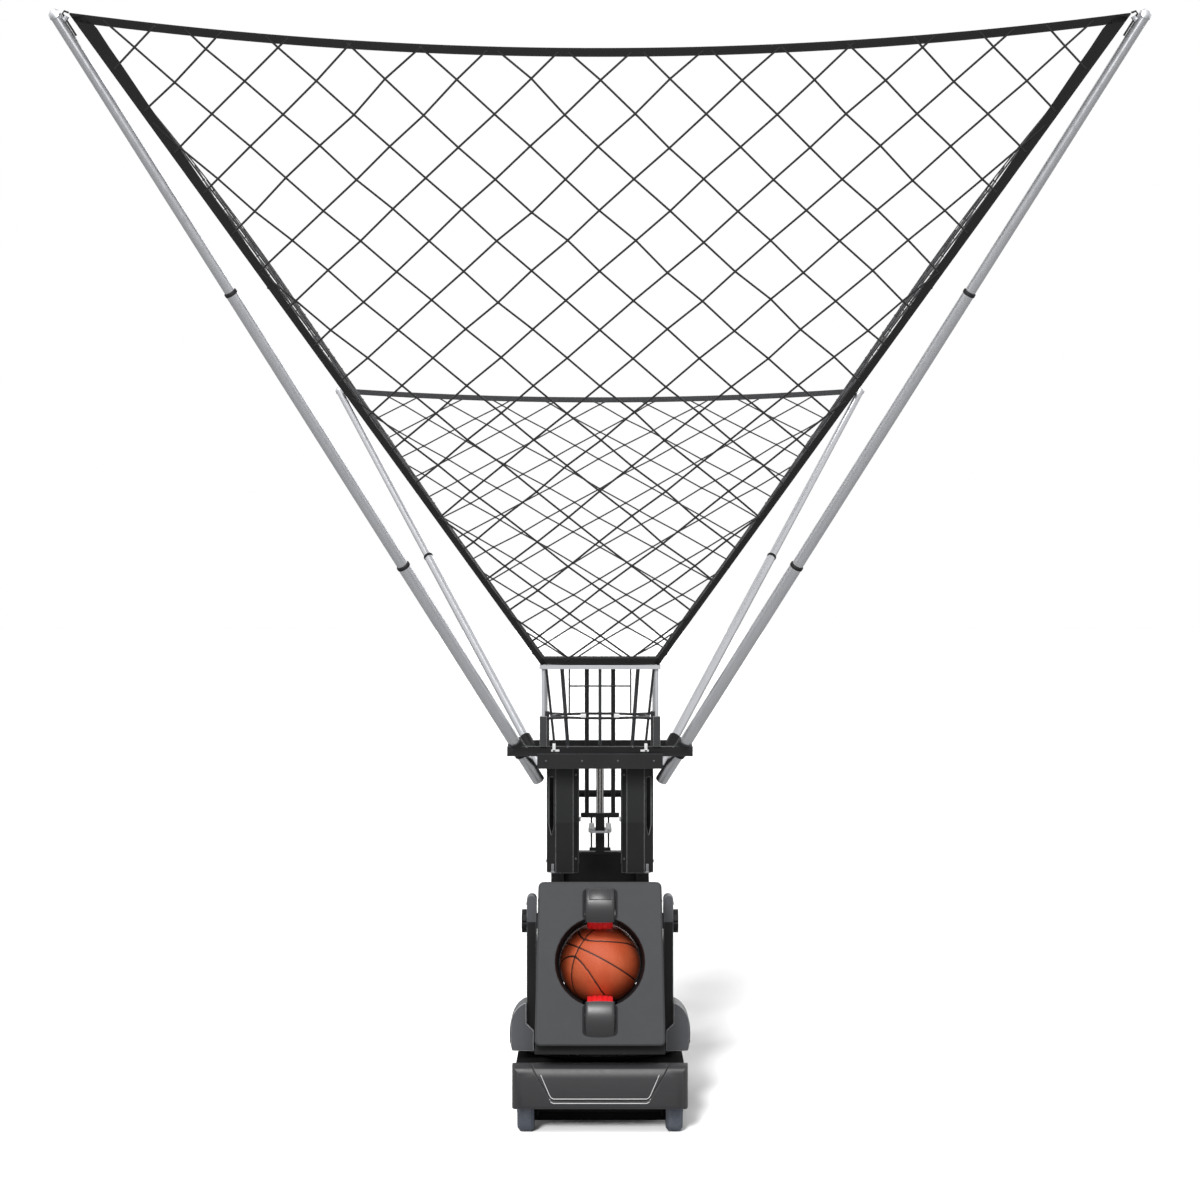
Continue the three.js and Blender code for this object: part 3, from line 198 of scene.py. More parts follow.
floor_mesh = bpy.data.meshes.new("studio_floor")
FLOOR_HALF, FLOOR_BACK, FLOOR_LEVEL = 60, 120, -0.001
floor_mesh.from_pydata([(-FLOOR_HALF, -FLOOR_HALF, FLOOR_LEVEL), (FLOOR_HALF, -FLOOR_HALF, FLOOR_LEVEL),
                        (FLOOR_HALF, FLOOR_BACK, FLOOR_LEVEL), (-FLOOR_HALF, FLOOR_BACK, FLOOR_LEVEL)],
                       [], [(0, 1, 2, 3)])
floor_mesh.materials.append(floor_finish)
floor = bpy.data.objects.new("studio_floor", floor_mesh)
scene.collection.objects.link(floor)


def lamp(name, kind, energy, at, towards, **settings):
    light = bpy.data.lights.new(name, kind)
    light.energy = energy
    for key, value in settings.items():
        setattr(light, key, value)
    holder = bpy.data.objects.new(name, light)
    holder.location = at
    holder.rotation_euler = (Vector(towards) - Vector(at)).to_track_quat("-Z", "Y").to_euler()
    scene.collection.objects.link(holder)
    return holder


lamp("sun", "SUN", 1.5, (-1.6, -4.4, 4.6), (0, 0, 0.4), angle=math.radians(16))
lamp("soft_lamp", "AREA", 110, (0, -4.0, 3.6), (0, 0, 1.2), shape="RECTANGLE", size=1.6, size_y=2.2)
lamp("back_fill", "SUN", 0.55, (2.6, 5.0, 3.2), (0, 0, 0.8), angle=math.radians(40))
floor_sun = lamp("floor_sun", "SUN", 5.2, (-1.9, -9.5, 4.4), (0, 0, 0), angle=math.radians(9))
floor_only = bpy.data.collections.new("floor_only")
floor_only.objects.link(floor)
floor_sun.light_linking.receiver_collection = floor_only

# %% [markdown]
# ## Finishes
# Nothing on a real machine is one flat colour. Powder coat has the fine waves of orange peel, moulded plastic
# the spark texture of its mould, rubber some dust, drawn tube long faint lines. Edges are painted in a worn tone:
# lighter, as painted highlights, on the head's face darker, as painted shade, and partly as wear from hands and
# cases. Each finish below is one Principled shader whose colour, roughness and bump vary at the real scale of
# that surface.

# %% The finish class
class Finish(Graph):
    """A material with one Principled shader. What is the same all over is set on the shader itself."""

    def __init__(self, name, **constants):
        self.material = bpy.data.materials.new(name)
        self.material.use_nodes = True
        super().__init__(self.material.node_tree)
        self.shader = self.tree.nodes["Principled BSDF"]
        for socket, value in constants.items():
            self.shader.inputs[socket.replace("_", " ")].default_value = value

    def show(self, **values):
        for socket, value in values.items():
            self.feed(self.shader.inputs[socket.replace("_", " ")], value)
        return self

    def rounded(self, radius):
        """The direction of the surface, turned as if every edge had this radius."""
        return self.node("Bevel", {"samples": 4}, {"Radius": radius})

    def edges(self, radius):
        """1 on the edges and 0 on open faces."""
        alike = self.node("VectorMath", {"operation": "DOT_PRODUCT"},
                          {0: self.rounded(radius), 1: self.node("NewGeometry", output="Normal")}, output="Value")
        return (1 - alike).step(0.002, 0.12)

    def bumped(self, height, depth, radius=None, strength=1.0):
        """A bump of a real depth in metres, on edges rounded by radius."""
        inputs = {"Height": height, "Distance": depth, "Strength": strength}
        if radius:
            inputs["Normal"] = self.rounded(radius)
        return self.show(Normal=self.node("Bump", inputs=inputs))


def painted(name, colour, worn, roughness=0.46, specular=0.2, radius=0.0025, zones=()):
    """Powder coat: slow cloudiness, orange peel, and edges painted lighter as highlights, with some wear. A zone is a
    height from which it is recoloured.
    """
    finish = Finish(name, Specular_IOR_Level=specular)
    cloud = finish.noise(9, 3)
    # Edges in the worn tone are painted highlights, with some wear.
    edge = finish.edges(radius) * (0.45 + 0.5 * finish.noise(60, 2))
    for height, above in zones:
        rise = finish.node("SeparateXYZ", inputs={0: finish.place()}, output="Z")
        colour = finish.mixed(rise.step(height - 0.001, height + 0.001), colour, above)
    lifted = finish.node("Mix", {"data_type": "RGBA", "blend_type": "ADD"}, {0: 0.02, 6: colour, 7: (1, 1, 1, 1)},
                         output=2)
    body = finish.mixed((cloud * 0.5).clipped(), colour, lifted)
    finish.show(Base_Color=finish.mixed(edge.clipped(), body, worn))
    finish.show(Roughness=(roughness + 0.16 * (finish.noise(35, 3) - 0.5)).clipped())
    return finish.bumped(finish.noise(900, 2), 0.00012, radius)


def moulded(name, colour, worn, grain=0.00018, roughness=0.62, specular=0.25, radius=0.0025, share=0.75):
    """Moulded plastic: the fine spark texture of the mould, and edges in the worn tone: highlights where it is
    lighter, shade where it is darker, with some handling wear.
    """
    finish = Finish(name, Specular_IOR_Level=specular)
    # Edges in the worn tone are painted highlights, on the face painted shade, and partly handling wear.
    edge = finish.edges(radius) * share
    dust = finish.noise(14, 4)
    body = finish.mixed((dust * 0.6).clipped(), colour, tuple(1.25 * v for v in colour[:3]) + (1.0,))
    finish.show(Base_Color=finish.mixed(edge.clipped(), body, worn))
    finish.show(Roughness=(roughness + 0.12 * (finish.noise(50, 3) - 0.5)).clipped())
    spark = finish.noise(1300, 3, roughness=0.6)
    return finish.bumped(spark, grain, radius)


def rubber(name, colour, dusty, roughness=0.7, specular=0.35):
    """Rubber with dust in its pores."""
    finish = Finish(name, Specular_IOR_Level=specular)
    dust = finish.noise(22, 5).step(0.42, 0.75)
    finish.show(Base_Color=finish.mixed(dust * 0.55, colour, dusty))
    finish.show(Roughness=(roughness + 0.15 * (finish.noise(70, 3) - 0.5)).clipped())
    return finish.bumped(finish.noise(700, 3), 0.0002, 0.002)


def metal(name, colour, worn, roughness=0.3, stretch=(1, 1, 1), turn=(0, 0, 0), lines=240, radius=0.001):
    """Metal with fine lines along the way it was drawn or rolled."""
    finish = Finish(name, Metallic=1.0)
    drawn = finish.noise(lines, 2, finish.place(stretch, turn))
    cloud = finish.noise(12, 3)
    body = finish.mixed((cloud * 0.5 + drawn * 0.3).clipped(), colour, worn)
    finish.show(Base_Color=body)
    finish.show(Roughness=(roughness + 0.22 * (drawn - 0.5) + 0.1 * (cloud - 0.5)).clipped())
    return finish.bumped(drawn, 0.00002, radius)


black_coat = painted("black_powder_coat", tone(22, 22, 24), tone(92, 94, 98))
matt_coat = painted("matt_black_coat", tone(13, 13, 14), tone(70, 71, 74), roughness=0.85, specular=0.04)
# The arms' edges are painted light grey, as highlights with some wear.
arm_coat = painted("arm_powder_coat", tone(22, 22, 24), tone(150, 152, 155), radius=0.005,
                   zones=((0.612, tone(84, 85, 88)),))
# Below 0.913 m the column is painted darker, as shade on its lower part and partly as a second sheet there; its folds
# get painted highlights in the worn tone.
column_coat = painted("column_powder_coat", tone(13, 13, 14), tone(150, 152, 155), radius=0.005,
                      zones=((0.913, tone(24, 25, 26)),))
# Above 1.2435 m, the middle of its bar, the frame is painted light: the bar's upper half as a painted highlight of its
# lit top, and the silver of the parts above; its edges get painted highlights.
frame_coat = painted("frame_coat", tone(30, 31, 33), tone(190, 191, 194), roughness=0.36, specular=0.5,
                     zones=((1.2435, tone(168, 170, 173)),))
wire_coat = painted("wire_powder_coat", tone(44, 45, 48), tone(70, 71, 74), roughness=0.4)
# The yoke covers' edges are painted near white at full strength, as highlights.
cover_plastic = moulded("cover_plastic", tone(84, 85, 88), tone(226, 227, 229), roughness=0.5, radius=0.004, share=1.0)
# The face's edges are painted darker, as shade on its bevels.
face_plastic = moulded("face_plastic", tone(66, 67, 69), tone(34, 34, 36), radius=0.005, grain=0.0003)
shell_plastic = moulded("shell_plastic", tone(30, 30, 32), tone(70, 71, 74))
bumper_plastic = moulded("bumper_plastic", tone(44, 44, 46), tone(84, 85, 87), roughness=0.42, specular=0.5,
                         radius=0.004)
hood_plastic = moulded("hood_plastic", tone(42, 42, 44), tone(150, 151, 153), roughness=0.34, specular=0.6,
                       grain=0.0001)
black_plastic = moulded("black_plastic", tone(22, 22, 24), tone(70, 71, 74))
foot_plate = painted("foot_plate_coat", tone(112, 113, 116), tone(170, 171, 174))
clear_cover = moulded("screen_cover", tone(16, 20, 24), tone(60, 62, 66), grain=0.00002, roughness=0.08, specular=0.6)
key_rubber = rubber("key_rubber", tone(128, 130, 133), tone(160, 161, 164))
light_plastic = moulded("light_plastic", tone(205, 206, 206), tone(235, 235, 235), roughness=0.5)
print("paints and plastics made")

# %% [markdown]
# ## Rubber and metal
# The road wheels are cast in grey rubber, and the throwing wheels have a soft red tread that grips the ball. Small
# steel parts are plated with zinc against rust, and the lead screw is rolled and polished.

# %% Rubbers and metals
wheel_rubber = rubber("wheel_rubber", tone(98, 104, 116), tone(140, 143, 150))
red_grip = rubber("red_grip_rubber", tone(226, 26, 34), tone(238, 60, 66), roughness=0.5)
red_key = moulded("red_key", tone(205, 30, 32), tone(240, 90, 90), roughness=0.35)
zinc = metal("zinc_plate", tone(190, 192, 196), tone(150, 152, 157), roughness=0.38, lines=40)
polished = metal("polished_rod", tone(225, 226, 230), tone(190, 182, 172), roughness=0.2, stretch=(1, 1, 0.05),
                 lines=40, radius=None)
print("rubber and metal made")

# %% [markdown]
# ## Softer shading on the rigid parts
# The frame's solids have few facets, and a round tube would show every one. A small Geometry Nodes tree merges
# their loose triangles and shades them smoothly wherever two faces meet at a shallow angle. The shape stays.

# %% Shade the rigid parts
def node_tree(name, *inputs):
    """A Geometry Nodes tree with these inputs, each a name, a kind and a value, and what is needed to fill it."""
    tree = bpy.data.node_groups.new(name, "GeometryNodeTree")
    tree.interface.new_socket("Geometry", in_out="INPUT", socket_type="NodeSocketGeometry")
    for title, kind, value in inputs:
        socket = tree.interface.new_socket(title, in_out="INPUT", socket_type="NodeSocket" + kind)
        if value is not None:
            socket.default_value = value
    tree.interface.new_socket("Geometry", in_out="OUTPUT", socket_type="NodeSocketGeometry")
    return tree, tree.nodes.new, tree.links.new, tree.nodes.new("NodeGroupInput"), tree.nodes.new("NodeGroupOutput")


def shading_tree():
    tree, make, link, given, result = node_tree("smooth_shallow_edges", ("Sharpest angle", "Float", math.radians(38)))
    merged = make("GeometryNodeMergeByDistance")
    merged.inputs["Distance"].default_value = 0.00001
    plain = make("GeometryNodeRemoveAttribute")
    plain.inputs["Name"].default_value = "custom_normal"
    smooth, sharp = make("GeometryNodeSetShadeSmooth"), make("GeometryNodeSetShadeSmooth")
    smooth.domain, sharp.domain = "FACE", "EDGE"
    sharp.inputs["Shade Smooth"].default_value = False
    angle, steeper = make("GeometryNodeInputMeshEdgeAngle"), make("FunctionNodeCompare")
    steeper.operation = "GREATER_THAN"
    link(given.outputs["Geometry"], plain.inputs["Geometry"])
    link(plain.outputs["Geometry"], merged.inputs["Geometry"])
    link(merged.outputs["Geometry"], smooth.inputs["Geometry"])
    link(smooth.outputs["Geometry"], sharp.inputs["Geometry"])
    link(angle.outputs["Unsigned Angle"], steeper.inputs["A"])
    link(given.outputs["Sharpest angle"], steeper.inputs["B"])
    link(steeper.outputs["Result"], sharp.inputs["Selection"])
    link(sharp.outputs["Geometry"], result.inputs["Geometry"])
    return tree


smooth_shallow_edges = shading_tree()
for part in nodes.values():
    part.modifiers.new("smooth_shallow_edges", "NODES").node_group = smooth_shallow_edges
print("parts shaded:", len(nodes))

# %% [markdown]
# ## Paint the rigid parts
# Each part gets the finish that it has on the real machine: black steel for the base and platform, dark moulded
# plastic for the head, lighter plastic for the covers, bright drawn tube for the poles.

# %% Give every part its finish
def finish_parts(finish, *names):
    for name in names:
        for slot in nodes[name].material_slots:
            slot.material = finish.material


def both(*names):
    return [name + "_" + side for name in names for side in ("right", "left")]


finish_parts(black_coat, "push_handle", "platform", "front_arm", "rear_arm", "guide_frame", "pusher",
             "wheel_motor_upper", "wheel_motor_lower", *both("mast"))
finish_parts(matt_coat, "chassis", "deck_cover", "turntable", "feed_tray")
finish_parts(arm_coat, *both("yoke_arm"))
finish_parts(column_coat, *both("column"))
finish_parts(frame_coat, "top_frame")
finish_parts(wire_coat, "basket")
finish_parts(cover_plastic, *both("yoke_cover"))
finish_parts(bumper_plastic, "front_bumper")
finish_parts(face_plastic, "head_face")
finish_parts(shell_plastic, "head_shell")
finish_parts(hood_plastic, "hood_upper", "hood_lower")
finish_parts(black_plastic, "rear_panel", "control_box", *both("tilt_knob"))
finish_parts(wheel_rubber, *both("front_wheel", "caster_wheel"))
finish_parts(red_grip, "throwing_wheel_upper", "throwing_wheel_lower")
finish_parts(red_key, "power_rocker")
finish_parts(zinc, "bearing_ring", "gate_shuttle", *both("caster_fork"))
finish_parts(polished, "lead_screw")

POLES = {
    "front": ((0.256, -0.160, 1.152), (1.424, -1.266, 3.128), ("lower", "middle", "upper")),
    "rear": ((0.240, 0.330, 1.140), (0.957, 1.268, 2.368), ("lower", "upper")),
}
for end, (foot, tip, sections) in POLES.items():
    for side, sign in (("right", 1), ("left", -1)):
        along = (Vector(tip) - Vector(foot)) * Vector((sign, 1, 1))
        turn = along.to_track_quat("Z", "Y").inverted().to_euler()
        drawn_tube = metal(f"drawn_tube_{end}_{side}", tone(206, 207, 210), tone(182, 184, 188), roughness=0.36,
                           stretch=(1, 1, 0.02), turn=turn, lines=90, radius=None)
        finish_parts(drawn_tube, *[f"{end}_pole_{section}_{side}" for section in sections])
print("finishes on parts:", len({slot.material.name for o in nodes.values() for slot in o.material_slots}))

# %% [markdown]
# ## Tools for small pieces
# What a frame of plain solids leaves out is mostly small: rubber treads, hubs, clips, screws, moulded covers. A
# Works gathers closed forms in one mesh. Its three forms are how such pieces are made: a profile turned round an
# axis, a block with rounded edges, and a round bar bent along a path.

# %% Gather closed forms in a mesh
def tied(piece, body, slot, *replaced):
    """A piece tied to the body it moves with and to the parts that it stands for. Its slot is not used."""
    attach(piece, body)
    if replaced:
        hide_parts(*replaced)
    return piece


def keep(name, mesh, finish, body, slot, *replaced):
    """A mesh as a piece of the machine, in one finish."""
    mesh.materials.append(finish.material)
    piece = bpy.data.objects.new(name, mesh)
    scene.collection.objects.link(piece)
    return tied(piece, body, slot, *replaced)


class Works:
    """Closed forms gathered in one mesh."""

    def __init__(self):
        self.shape = bmesh.new()

    def loops(self, rows, closed=False):
        """Skin between rows of points. Each row is a loop, and the first and last rows are filled."""
        made = [[self.shape.verts.new(point) for point in row] for row in rows]
        for low, high in list(zip(made, made[1:])) + ([(made[-1], made[0])] if closed else []):
            for k in range(len(low)):
                n = (k + 1) % len(low)
                self.shape.faces.new((low[k], low[n], high[n], high[k]))
        if not closed:
            self.shape.faces.new(made[0])
            self.shape.faces.new(made[-1])
        return self

    def turned(self, profile, at, axis=(0, 0, 1), steps=32, closed=False):
        """A profile of (radius, along) turned round an axis through at."""
        axis = Vector(axis).normalized()
        side = axis.orthogonal().normalized()
        other = axis.cross(side)
        angles = [2 * math.pi * k / steps for k in range(steps)]
        return self.loops([[Vector(at) + axis * along + radius * (side * math.cos(a) + other * math.sin(a))
                            for a in angles] for radius, along in profile], closed)

    def block(self, low, high, edge, segments=2):
        """A box with rounded edges."""
        made = bmesh.ops.create_cube(self.shape, size=1)["verts"]
        low, high = Vector(low), Vector(high)
        for corner in made:
            corner.co = corner.co * (high - low) + (low + high) / 2
        bmesh.ops.bevel(self.shape, geom=list({e for v in made for e in v.link_edges}), offset=edge,
                        segments=segments, profile=0.5, affect="EDGES")
        return self

    def bar(self, path, radius, steps=8):
        """A round bar bent along a path."""
        path = [Vector(point) for point in path]
        side, rows = (path[1] - path[0]).orthogonal().normalized(), []
        for k, point in enumerate(path):
            along = (path[min(k + 1, len(path) - 1)] - path[max(k - 1, 0)]).normalized()
            side = (side - along * side.dot(along)).normalized()
            other = along.cross(side)
            rows.append([point + radius * (side * math.cos(a) + other * math.sin(a))
                         for a in (2 * math.pi * m / steps for m in range(steps))])
        return self.loops(rows)

    def mesh(self, name):
        """The mesh, faces outwards."""
        bmesh.ops.recalc_face_normals(self.shape, faces=self.shape.faces)
        mesh = bpy.data.meshes.new(name)
        self.shape.to_mesh(mesh)
        self.shape.free()
        return mesh

    def piece(self, name, finish, body, slot, *replaced, sharpest=35):
        """The mesh as a piece, shaded smoothly over shallow edges."""
        mesh = self.mesh(name)
        mesh.shade_smooth()
        mesh.set_sharp_from_angle(angle=math.radians(sharpest))
        return keep(name, mesh, finish, body, slot, *replaced)


def grown(name, source, tree, values, finish):
    """The plain mesh that a tree grows on a source mesh."""
    holder = bpy.data.objects.new(name + "_source", source)
    scene.collection.objects.link(holder)
    modifier = holder.modifiers.new("grow", "NODES")
    modifier.node_group = tree
    sockets = {item.name: item.identifier for item in tree.interface.items_tree if item.in_out == "INPUT"}
    for key, value in values.items():
        modifier[sockets[key]] = value
    modifier[sockets["Finish"]] = finish.material
    bpy.context.view_layer.update()
    evaluated = holder.evaluated_get(bpy.context.evaluated_depsgraph_get())
    mesh = bpy.data.meshes.new_from_object(evaluated)
    mesh.name = name
    bpy.data.objects.remove(holder)
    made = bpy.data.objects.new(name, mesh)
    scene.collection.objects.link(made)
    return made


def painted_end(make, link, given, result, shape):
    """The end of a growing tree: instances made real, and the finish set on all of it."""
    real, paint = make("GeometryNodeRealizeInstances"), make("GeometryNodeSetMaterial")
    link(shape, real.inputs["Geometry"])
    link(real.outputs["Geometry"], paint.inputs["Geometry"])
    link(given.outputs["Finish"], paint.inputs["Material"])
    link(paint.outputs["Geometry"], result.inputs["Geometry"])


print("tools ready")

# %% [markdown]
# ## The head
# The head is modelled level and tilts up ten degrees as it stands, so its own pieces are set out level and
# turned with it. The red wheels have a grooved tread on a cast hub. A drum shaped hood covers each wheel where it
# comes through the face, inside a black rim on the face that is painted shade for the gap round it, and the upper
# one has a raised pad. A black liner on each side of the mouth narrows inwards like a funnel. The thin lip under
# the face is a guess, for the dark that is seen there.

# %% Dress the head
HEAD = Matrix.Translation((0, -0.150, 0.612)) @ Matrix.Rotation(math.radians(-10), 4, "X")
AXLE_Y, AXLE_Z = -0.1736, {"upper": 0.0315, "lower": -0.2935}
FACE_Y, MOUTH_Z = -0.2345, -0.131
DRUM = 0.0829  # the hoods' radius round the wheels' axles


def in_head(x, y, z):
    return HEAD @ Vector((x, y, z))


def grooved_tread(half=0.0385, radius=0.065, inner=0.034, crown=0.003, groove=0.0022, depth=0.002):
    """The profile of a tread, crowned, with four grooves round it."""
    profile = [(inner, -half), (radius - crown - 0.002, -half), (radius - crown, 0.002 - half)]
    for centre in (-0.024, -0.008, 0.008, 0.024):
        top = radius - crown * (centre / half) ** 2
        profile += [(top, centre - groove), (top - depth, centre - groove / 2), (top - depth, centre + groove / 2),
                    (top, centre + groove)]
    return profile + [(radius - crown, half - 0.002), (radius - crown - 0.002, half), (inner, half)]


hub_profile = [(0.0085, -0.0465), (0.0155, -0.0465), (0.0155, -0.034), (0.024, -0.0335), (0.0335, -0.0375),
               (0.0335, 0.0375), (0.024, 0.0335), (0.0155, 0.034), (0.0155, 0.0445), (0.0085, 0.0445)]
for level, height in AXLE_Z.items():
    centre = in_head(0, AXLE_Y, height)
    Works().turned(grooved_tread(), centre, (1, 0, 0), 64, closed=True).piece(
        f"tread_{level}", red_grip, f"{level}_wheel", "red_rubber", f"throwing_wheel_{level}")
    hub = Works().turned(hub_profile, centre, (1, 0, 0), 40, closed=True)
    hub.turned([(0.0082, -0.052), (0.0082, 0.074)], centre, (1, 0, 0), 20)
    for k in range(5):
        angle = 2 * math.pi * k / 5
        spot = centre + Vector((0, math.cos(angle), math.sin(angle))) * 0.0195
        hub.turned([(0.003, -0.0365), (0.003, -0.033)], spot, (1, 0, 0), 6)
    hub.piece(f"hub_{level}", zinc, f"{level}_wheel", "zinc_steel")


def rounded(half_width, low, high, corner, steps=6):
    """The outline of a rounded rectangle, as (x, z) points."""
    points = []
    for cx, cz, start in ((half_width - corner, high - corner, 0), (corner - half_width, high - corner, 90),
                          (corner - half_width, low + corner, 180), (half_width - corner, low + corner, 270)):
        points += [(cx + corner * math.cos(math.radians(start + 90 * k / steps)),
                    cz + corner * math.sin(math.radians(start + 90 * k / steps))) for k in range(steps + 1)]
    return points


def hood(level, up, half=0.0445, wall=0.003):
    """A drum shaped cover round the wheel, and round it on the face a black rim painted as the shade of a recess."""
    across = [(half, None), (half, -0.009), (0.0435, -0.0055), (0.0415, -0.0025), (0.0385, -0.0007), (0.034, 0.0),
              (0.018, 0.0012), (0.0, 0.0016)]
    across += [(-x, off) for x, off in reversed(across[:-1])]
    inside = [(-half + wall, None), (-half + wall, -0.010), (-0.036, -wall), (0.036, -wall), (half - wall, -0.010),
              (half - wall, None)]
    rows = []
    for turn in range(-34, 51, 4):
        rise = math.sin(math.radians(turn)) * up
        ahead = math.cos(math.radians(turn))
        row = []
        for x, off in across + inside:
            y = FACE_Y + 0.001 if off is None else AXLE_Y - (DRUM + off) * ahead
            row.append(in_head(x, min(y, FACE_Y + 0.001), AXLE_Z[level] + (DRUM + (off or 0)) * rise))
        rows.append(row)
    Works().loops(rows).piece(f"hood_cover_{level}", hood_plastic, "head", "dark_plastic", f"hood_{level}")
    ends = sorted(MOUTH_Z + up * reach for reach in (0.1225, 0.2165))
    # A black rim on the face round the hood: painted shade for the gap of a recess.
    outer, inner = rounded(0.0525, *ends, 0.014), rounded(0.0455, ends[0] + 0.004, ends[1] - 0.004, 0.009)
    rims = [[in_head(x, y, z) for x, z in line] for line, y in ((outer, FACE_Y - 0.0003), (outer, FACE_Y - 0.0016),
                                                              (inner, FACE_Y - 0.0016), (inner, FACE_Y - 0.0003))]
    Works().loops(rims, closed=True).piece(f"hood_recess_{level}", black_plastic, "head", "dark_plastic")


hood("upper", 1)
hood("lower", -1)
liner = Works()
for sign in (1, -1):
    liner.loops([[in_head(sign * r * math.cos(a), y, MOUTH_Z + r * math.sin(a)) for r, y in
                  ((0.1355, -0.2220), (0.1385, -0.2220), (0.1282, -0.1000), (0.1252, -0.1000))]
                 for a in (math.radians(d) for d in range(-66, 67, 4))])
liner.piece("mouth_liner", black_plastic, "head", "dark_plastic")

lip = Works().block((-0.1935, -0.205, -0.402), (0.1935, -0.199, -0.372), 0.0015)
bmesh.ops.transform(lip.shape, matrix=HEAD, verts=lip.shape.verts)
lip.piece("face_lip", black_plastic, "head", "dark_plastic")

pad = ((0.034, -0.001), (0.034, 0.0028), (0.032, 0.0042), (-0.032, 0.0042), (-0.034, 0.0028), (-0.034, -0.001))
pad_rows = [[in_head(x, AXLE_Y - (DRUM + off) * math.cos(a), AXLE_Z["upper"] + (DRUM + off) * math.sin(a))
             for x, off in pad] for a in (math.radians(turn) for turn in range(14, 39, 4))]
Works().loops(pad_rows).piece("hood_pad", hood_plastic, "head", "dark_plastic")
print("head dressed")

# %% [markdown]
# ## Painted highlights on the bumper
# Two thin bright lines run along the lower edge of the bumper's panel: light strips laid on it as painted
# highlights on the rims of its groove. A short ray from the front finds the bumper's surface, so the strips lie on it.

# %% Lay the painted highlights
def surface_of(name):
    """Rays against a part: the point where one from a place in a direction strikes it."""
    mesh = nodes[name].data
    tree = BVHTree.FromPolygons([nodes[name].matrix_world @ v.co for v in mesh.vertices],
                                [tuple(p.vertices) for p in mesh.polygons])
    return lambda at, way: tree.ray_cast(Vector(at), Vector(way))[0]


bumper = surface_of("front_bumper")
HIGHLIGHT_STEP, HIGHLIGHT_RADIUS = 0.012, 0.0013
# Light strips laid on the bumper as painted highlights of its groove's rims.
trim = Works()
for line in (((-0.176, 0.1905), (-0.1500, 0.1300), (-0.1450, 0.1225), (-0.1380, 0.1190)),
             ((-0.1505, 0.1180), (-0.1450, 0.1090), (-0.1380, 0.1060))):
    path = line + tuple((-x, z) for x, z in reversed(line))
    spots = []
    for (x0, z0), (x1, z1) in zip(path, path[1:]):
        parts = max(1, round(abs(x1 - x0) / HIGHLIGHT_STEP))
        spots += [(x0 + (x1 - x0) * k / parts, z0 + (z1 - z0) * k / parts) for k in range(parts)]
    trim.bar([bumper((x, -0.6, z), (0, 1, 0)) for x, z in spots + [path[-1]]], HIGHLIGHT_RADIUS)
trim.piece("bumper_trim", light_plastic, "base", "dark_plastic")
print("trim laid")

# %% [markdown]
# ## Clips, feet and collars
# White clips hold the cage and the screw's bracket, and a small grey plate sits at each lower corner of the feed
# column's front. A dark collar closes every joint of a telescopic pole, as a short ring slipped over the tube.

# %% Set the clips, feet and collars
def paired_blocks(works, edge, *boxes):
    """Rounded blocks on the right of the machine and their mirror images on the left."""
    for sign in (1, -1):
        for xs, (y0, y1), (z0, z1) in boxes:
            x0, x1 = sorted(sign * x for x in xs)
            works.block((x0, y0, z0), (x1, y1, z1), edge)


def pole_pair(end):
    """The foot, the tip and the direction of both poles at one end, and the side they are on."""
    foot, tip, _ = POLES[end]
    for sign in (1, -1):
        flip = Vector((sign, 1, 1))
        start, finish = Vector(foot) * flip, Vector(tip) * flip
        yield start, finish, (finish - start).normalized(), flip


clips = Works()
paired_blocks(clips, 0.0015, ((0.124, 0.150), (-0.1815, -0.1775), (1.134, 1.141)),
              ((0.136, 0.146), (-0.1815, -0.1775), (1.134, 1.160)), ((0.043, 0.060), (-0.166, -0.150), (1.238, 1.250)),
              ((0.062, 0.086), (0.192, 0.206), (0.886, 0.900)), ((0.018, 0.036), (0.192, 0.206), (0.850, 0.880)))
clips.piece("clips", light_plastic, "base", "grey_paint")
feet = Works()
paired_blocks(feet, 0.0006, ((0.142, 0.150), (-0.1405, -0.1385), (0.7572, 0.786)))
paired_blocks(feet, 0.0008, ((0.139, 0.153), (-0.1415, -0.1385), (0.7572, 0.762)))
feet.piece("column_feet", foot_plate, "base", "grey_paint")

# For each end, how far up the pole a joint is, and the radius of the wider tube there
POLE_JOINTS = {"front": ((0.709, 0.019), (1.677, 0.017)), "rear": ((0.850, 0.015),)}
collar_profile = [(0.0002, -0.008), (0.0014, -0.007), (0.0016, 0.0), (0.0006, 0.002), (-0.0014, 0.0035),
                  (-0.0017, 0.0035), (-0.0017, 0.001), (0.0002, 0.001)]
collars = Works()
for end, joints in POLE_JOINTS.items():
    for start, _, along, _ in pole_pair(end):
        for distance, radius in joints:
            collars.turned([(radius + out, rise) for out, rise in collar_profile], start + along * distance, along,
                           24, closed=True)
collars.piece("pole_collars", black_plastic, "base", "dark_plastic")
print("clips, feet and collars set")

# %% [markdown]
# ## Skirt of painted shade
# A thin black sheet hangs across the machine behind the front wheels, in slight waves. It is a guess: painted shade
# for the dark that is seen under the bumper.

# %% Hang the skirt
SKIRT_HALF, HALF_SHEET, SKIRT_TOP, SKIRT_BOTTOM = 0.252, 0.0012, 0.0965, 0.012  # HALF_SHEET: half its thickness
skirt_rows = []
for x in np.linspace(-SKIRT_HALF, SKIRT_HALF, 64):
    y = -0.215 + 0.0012 * math.sin(x * 41)
    skirt_rows.append([(x, y - HALF_SHEET, SKIRT_TOP), (x, y + HALF_SHEET, SKIRT_TOP),
                       (x, y + HALF_SHEET + 0.001, SKIRT_BOTTOM), (x, y - HALF_SHEET + 0.001, SKIRT_BOTTOM)])
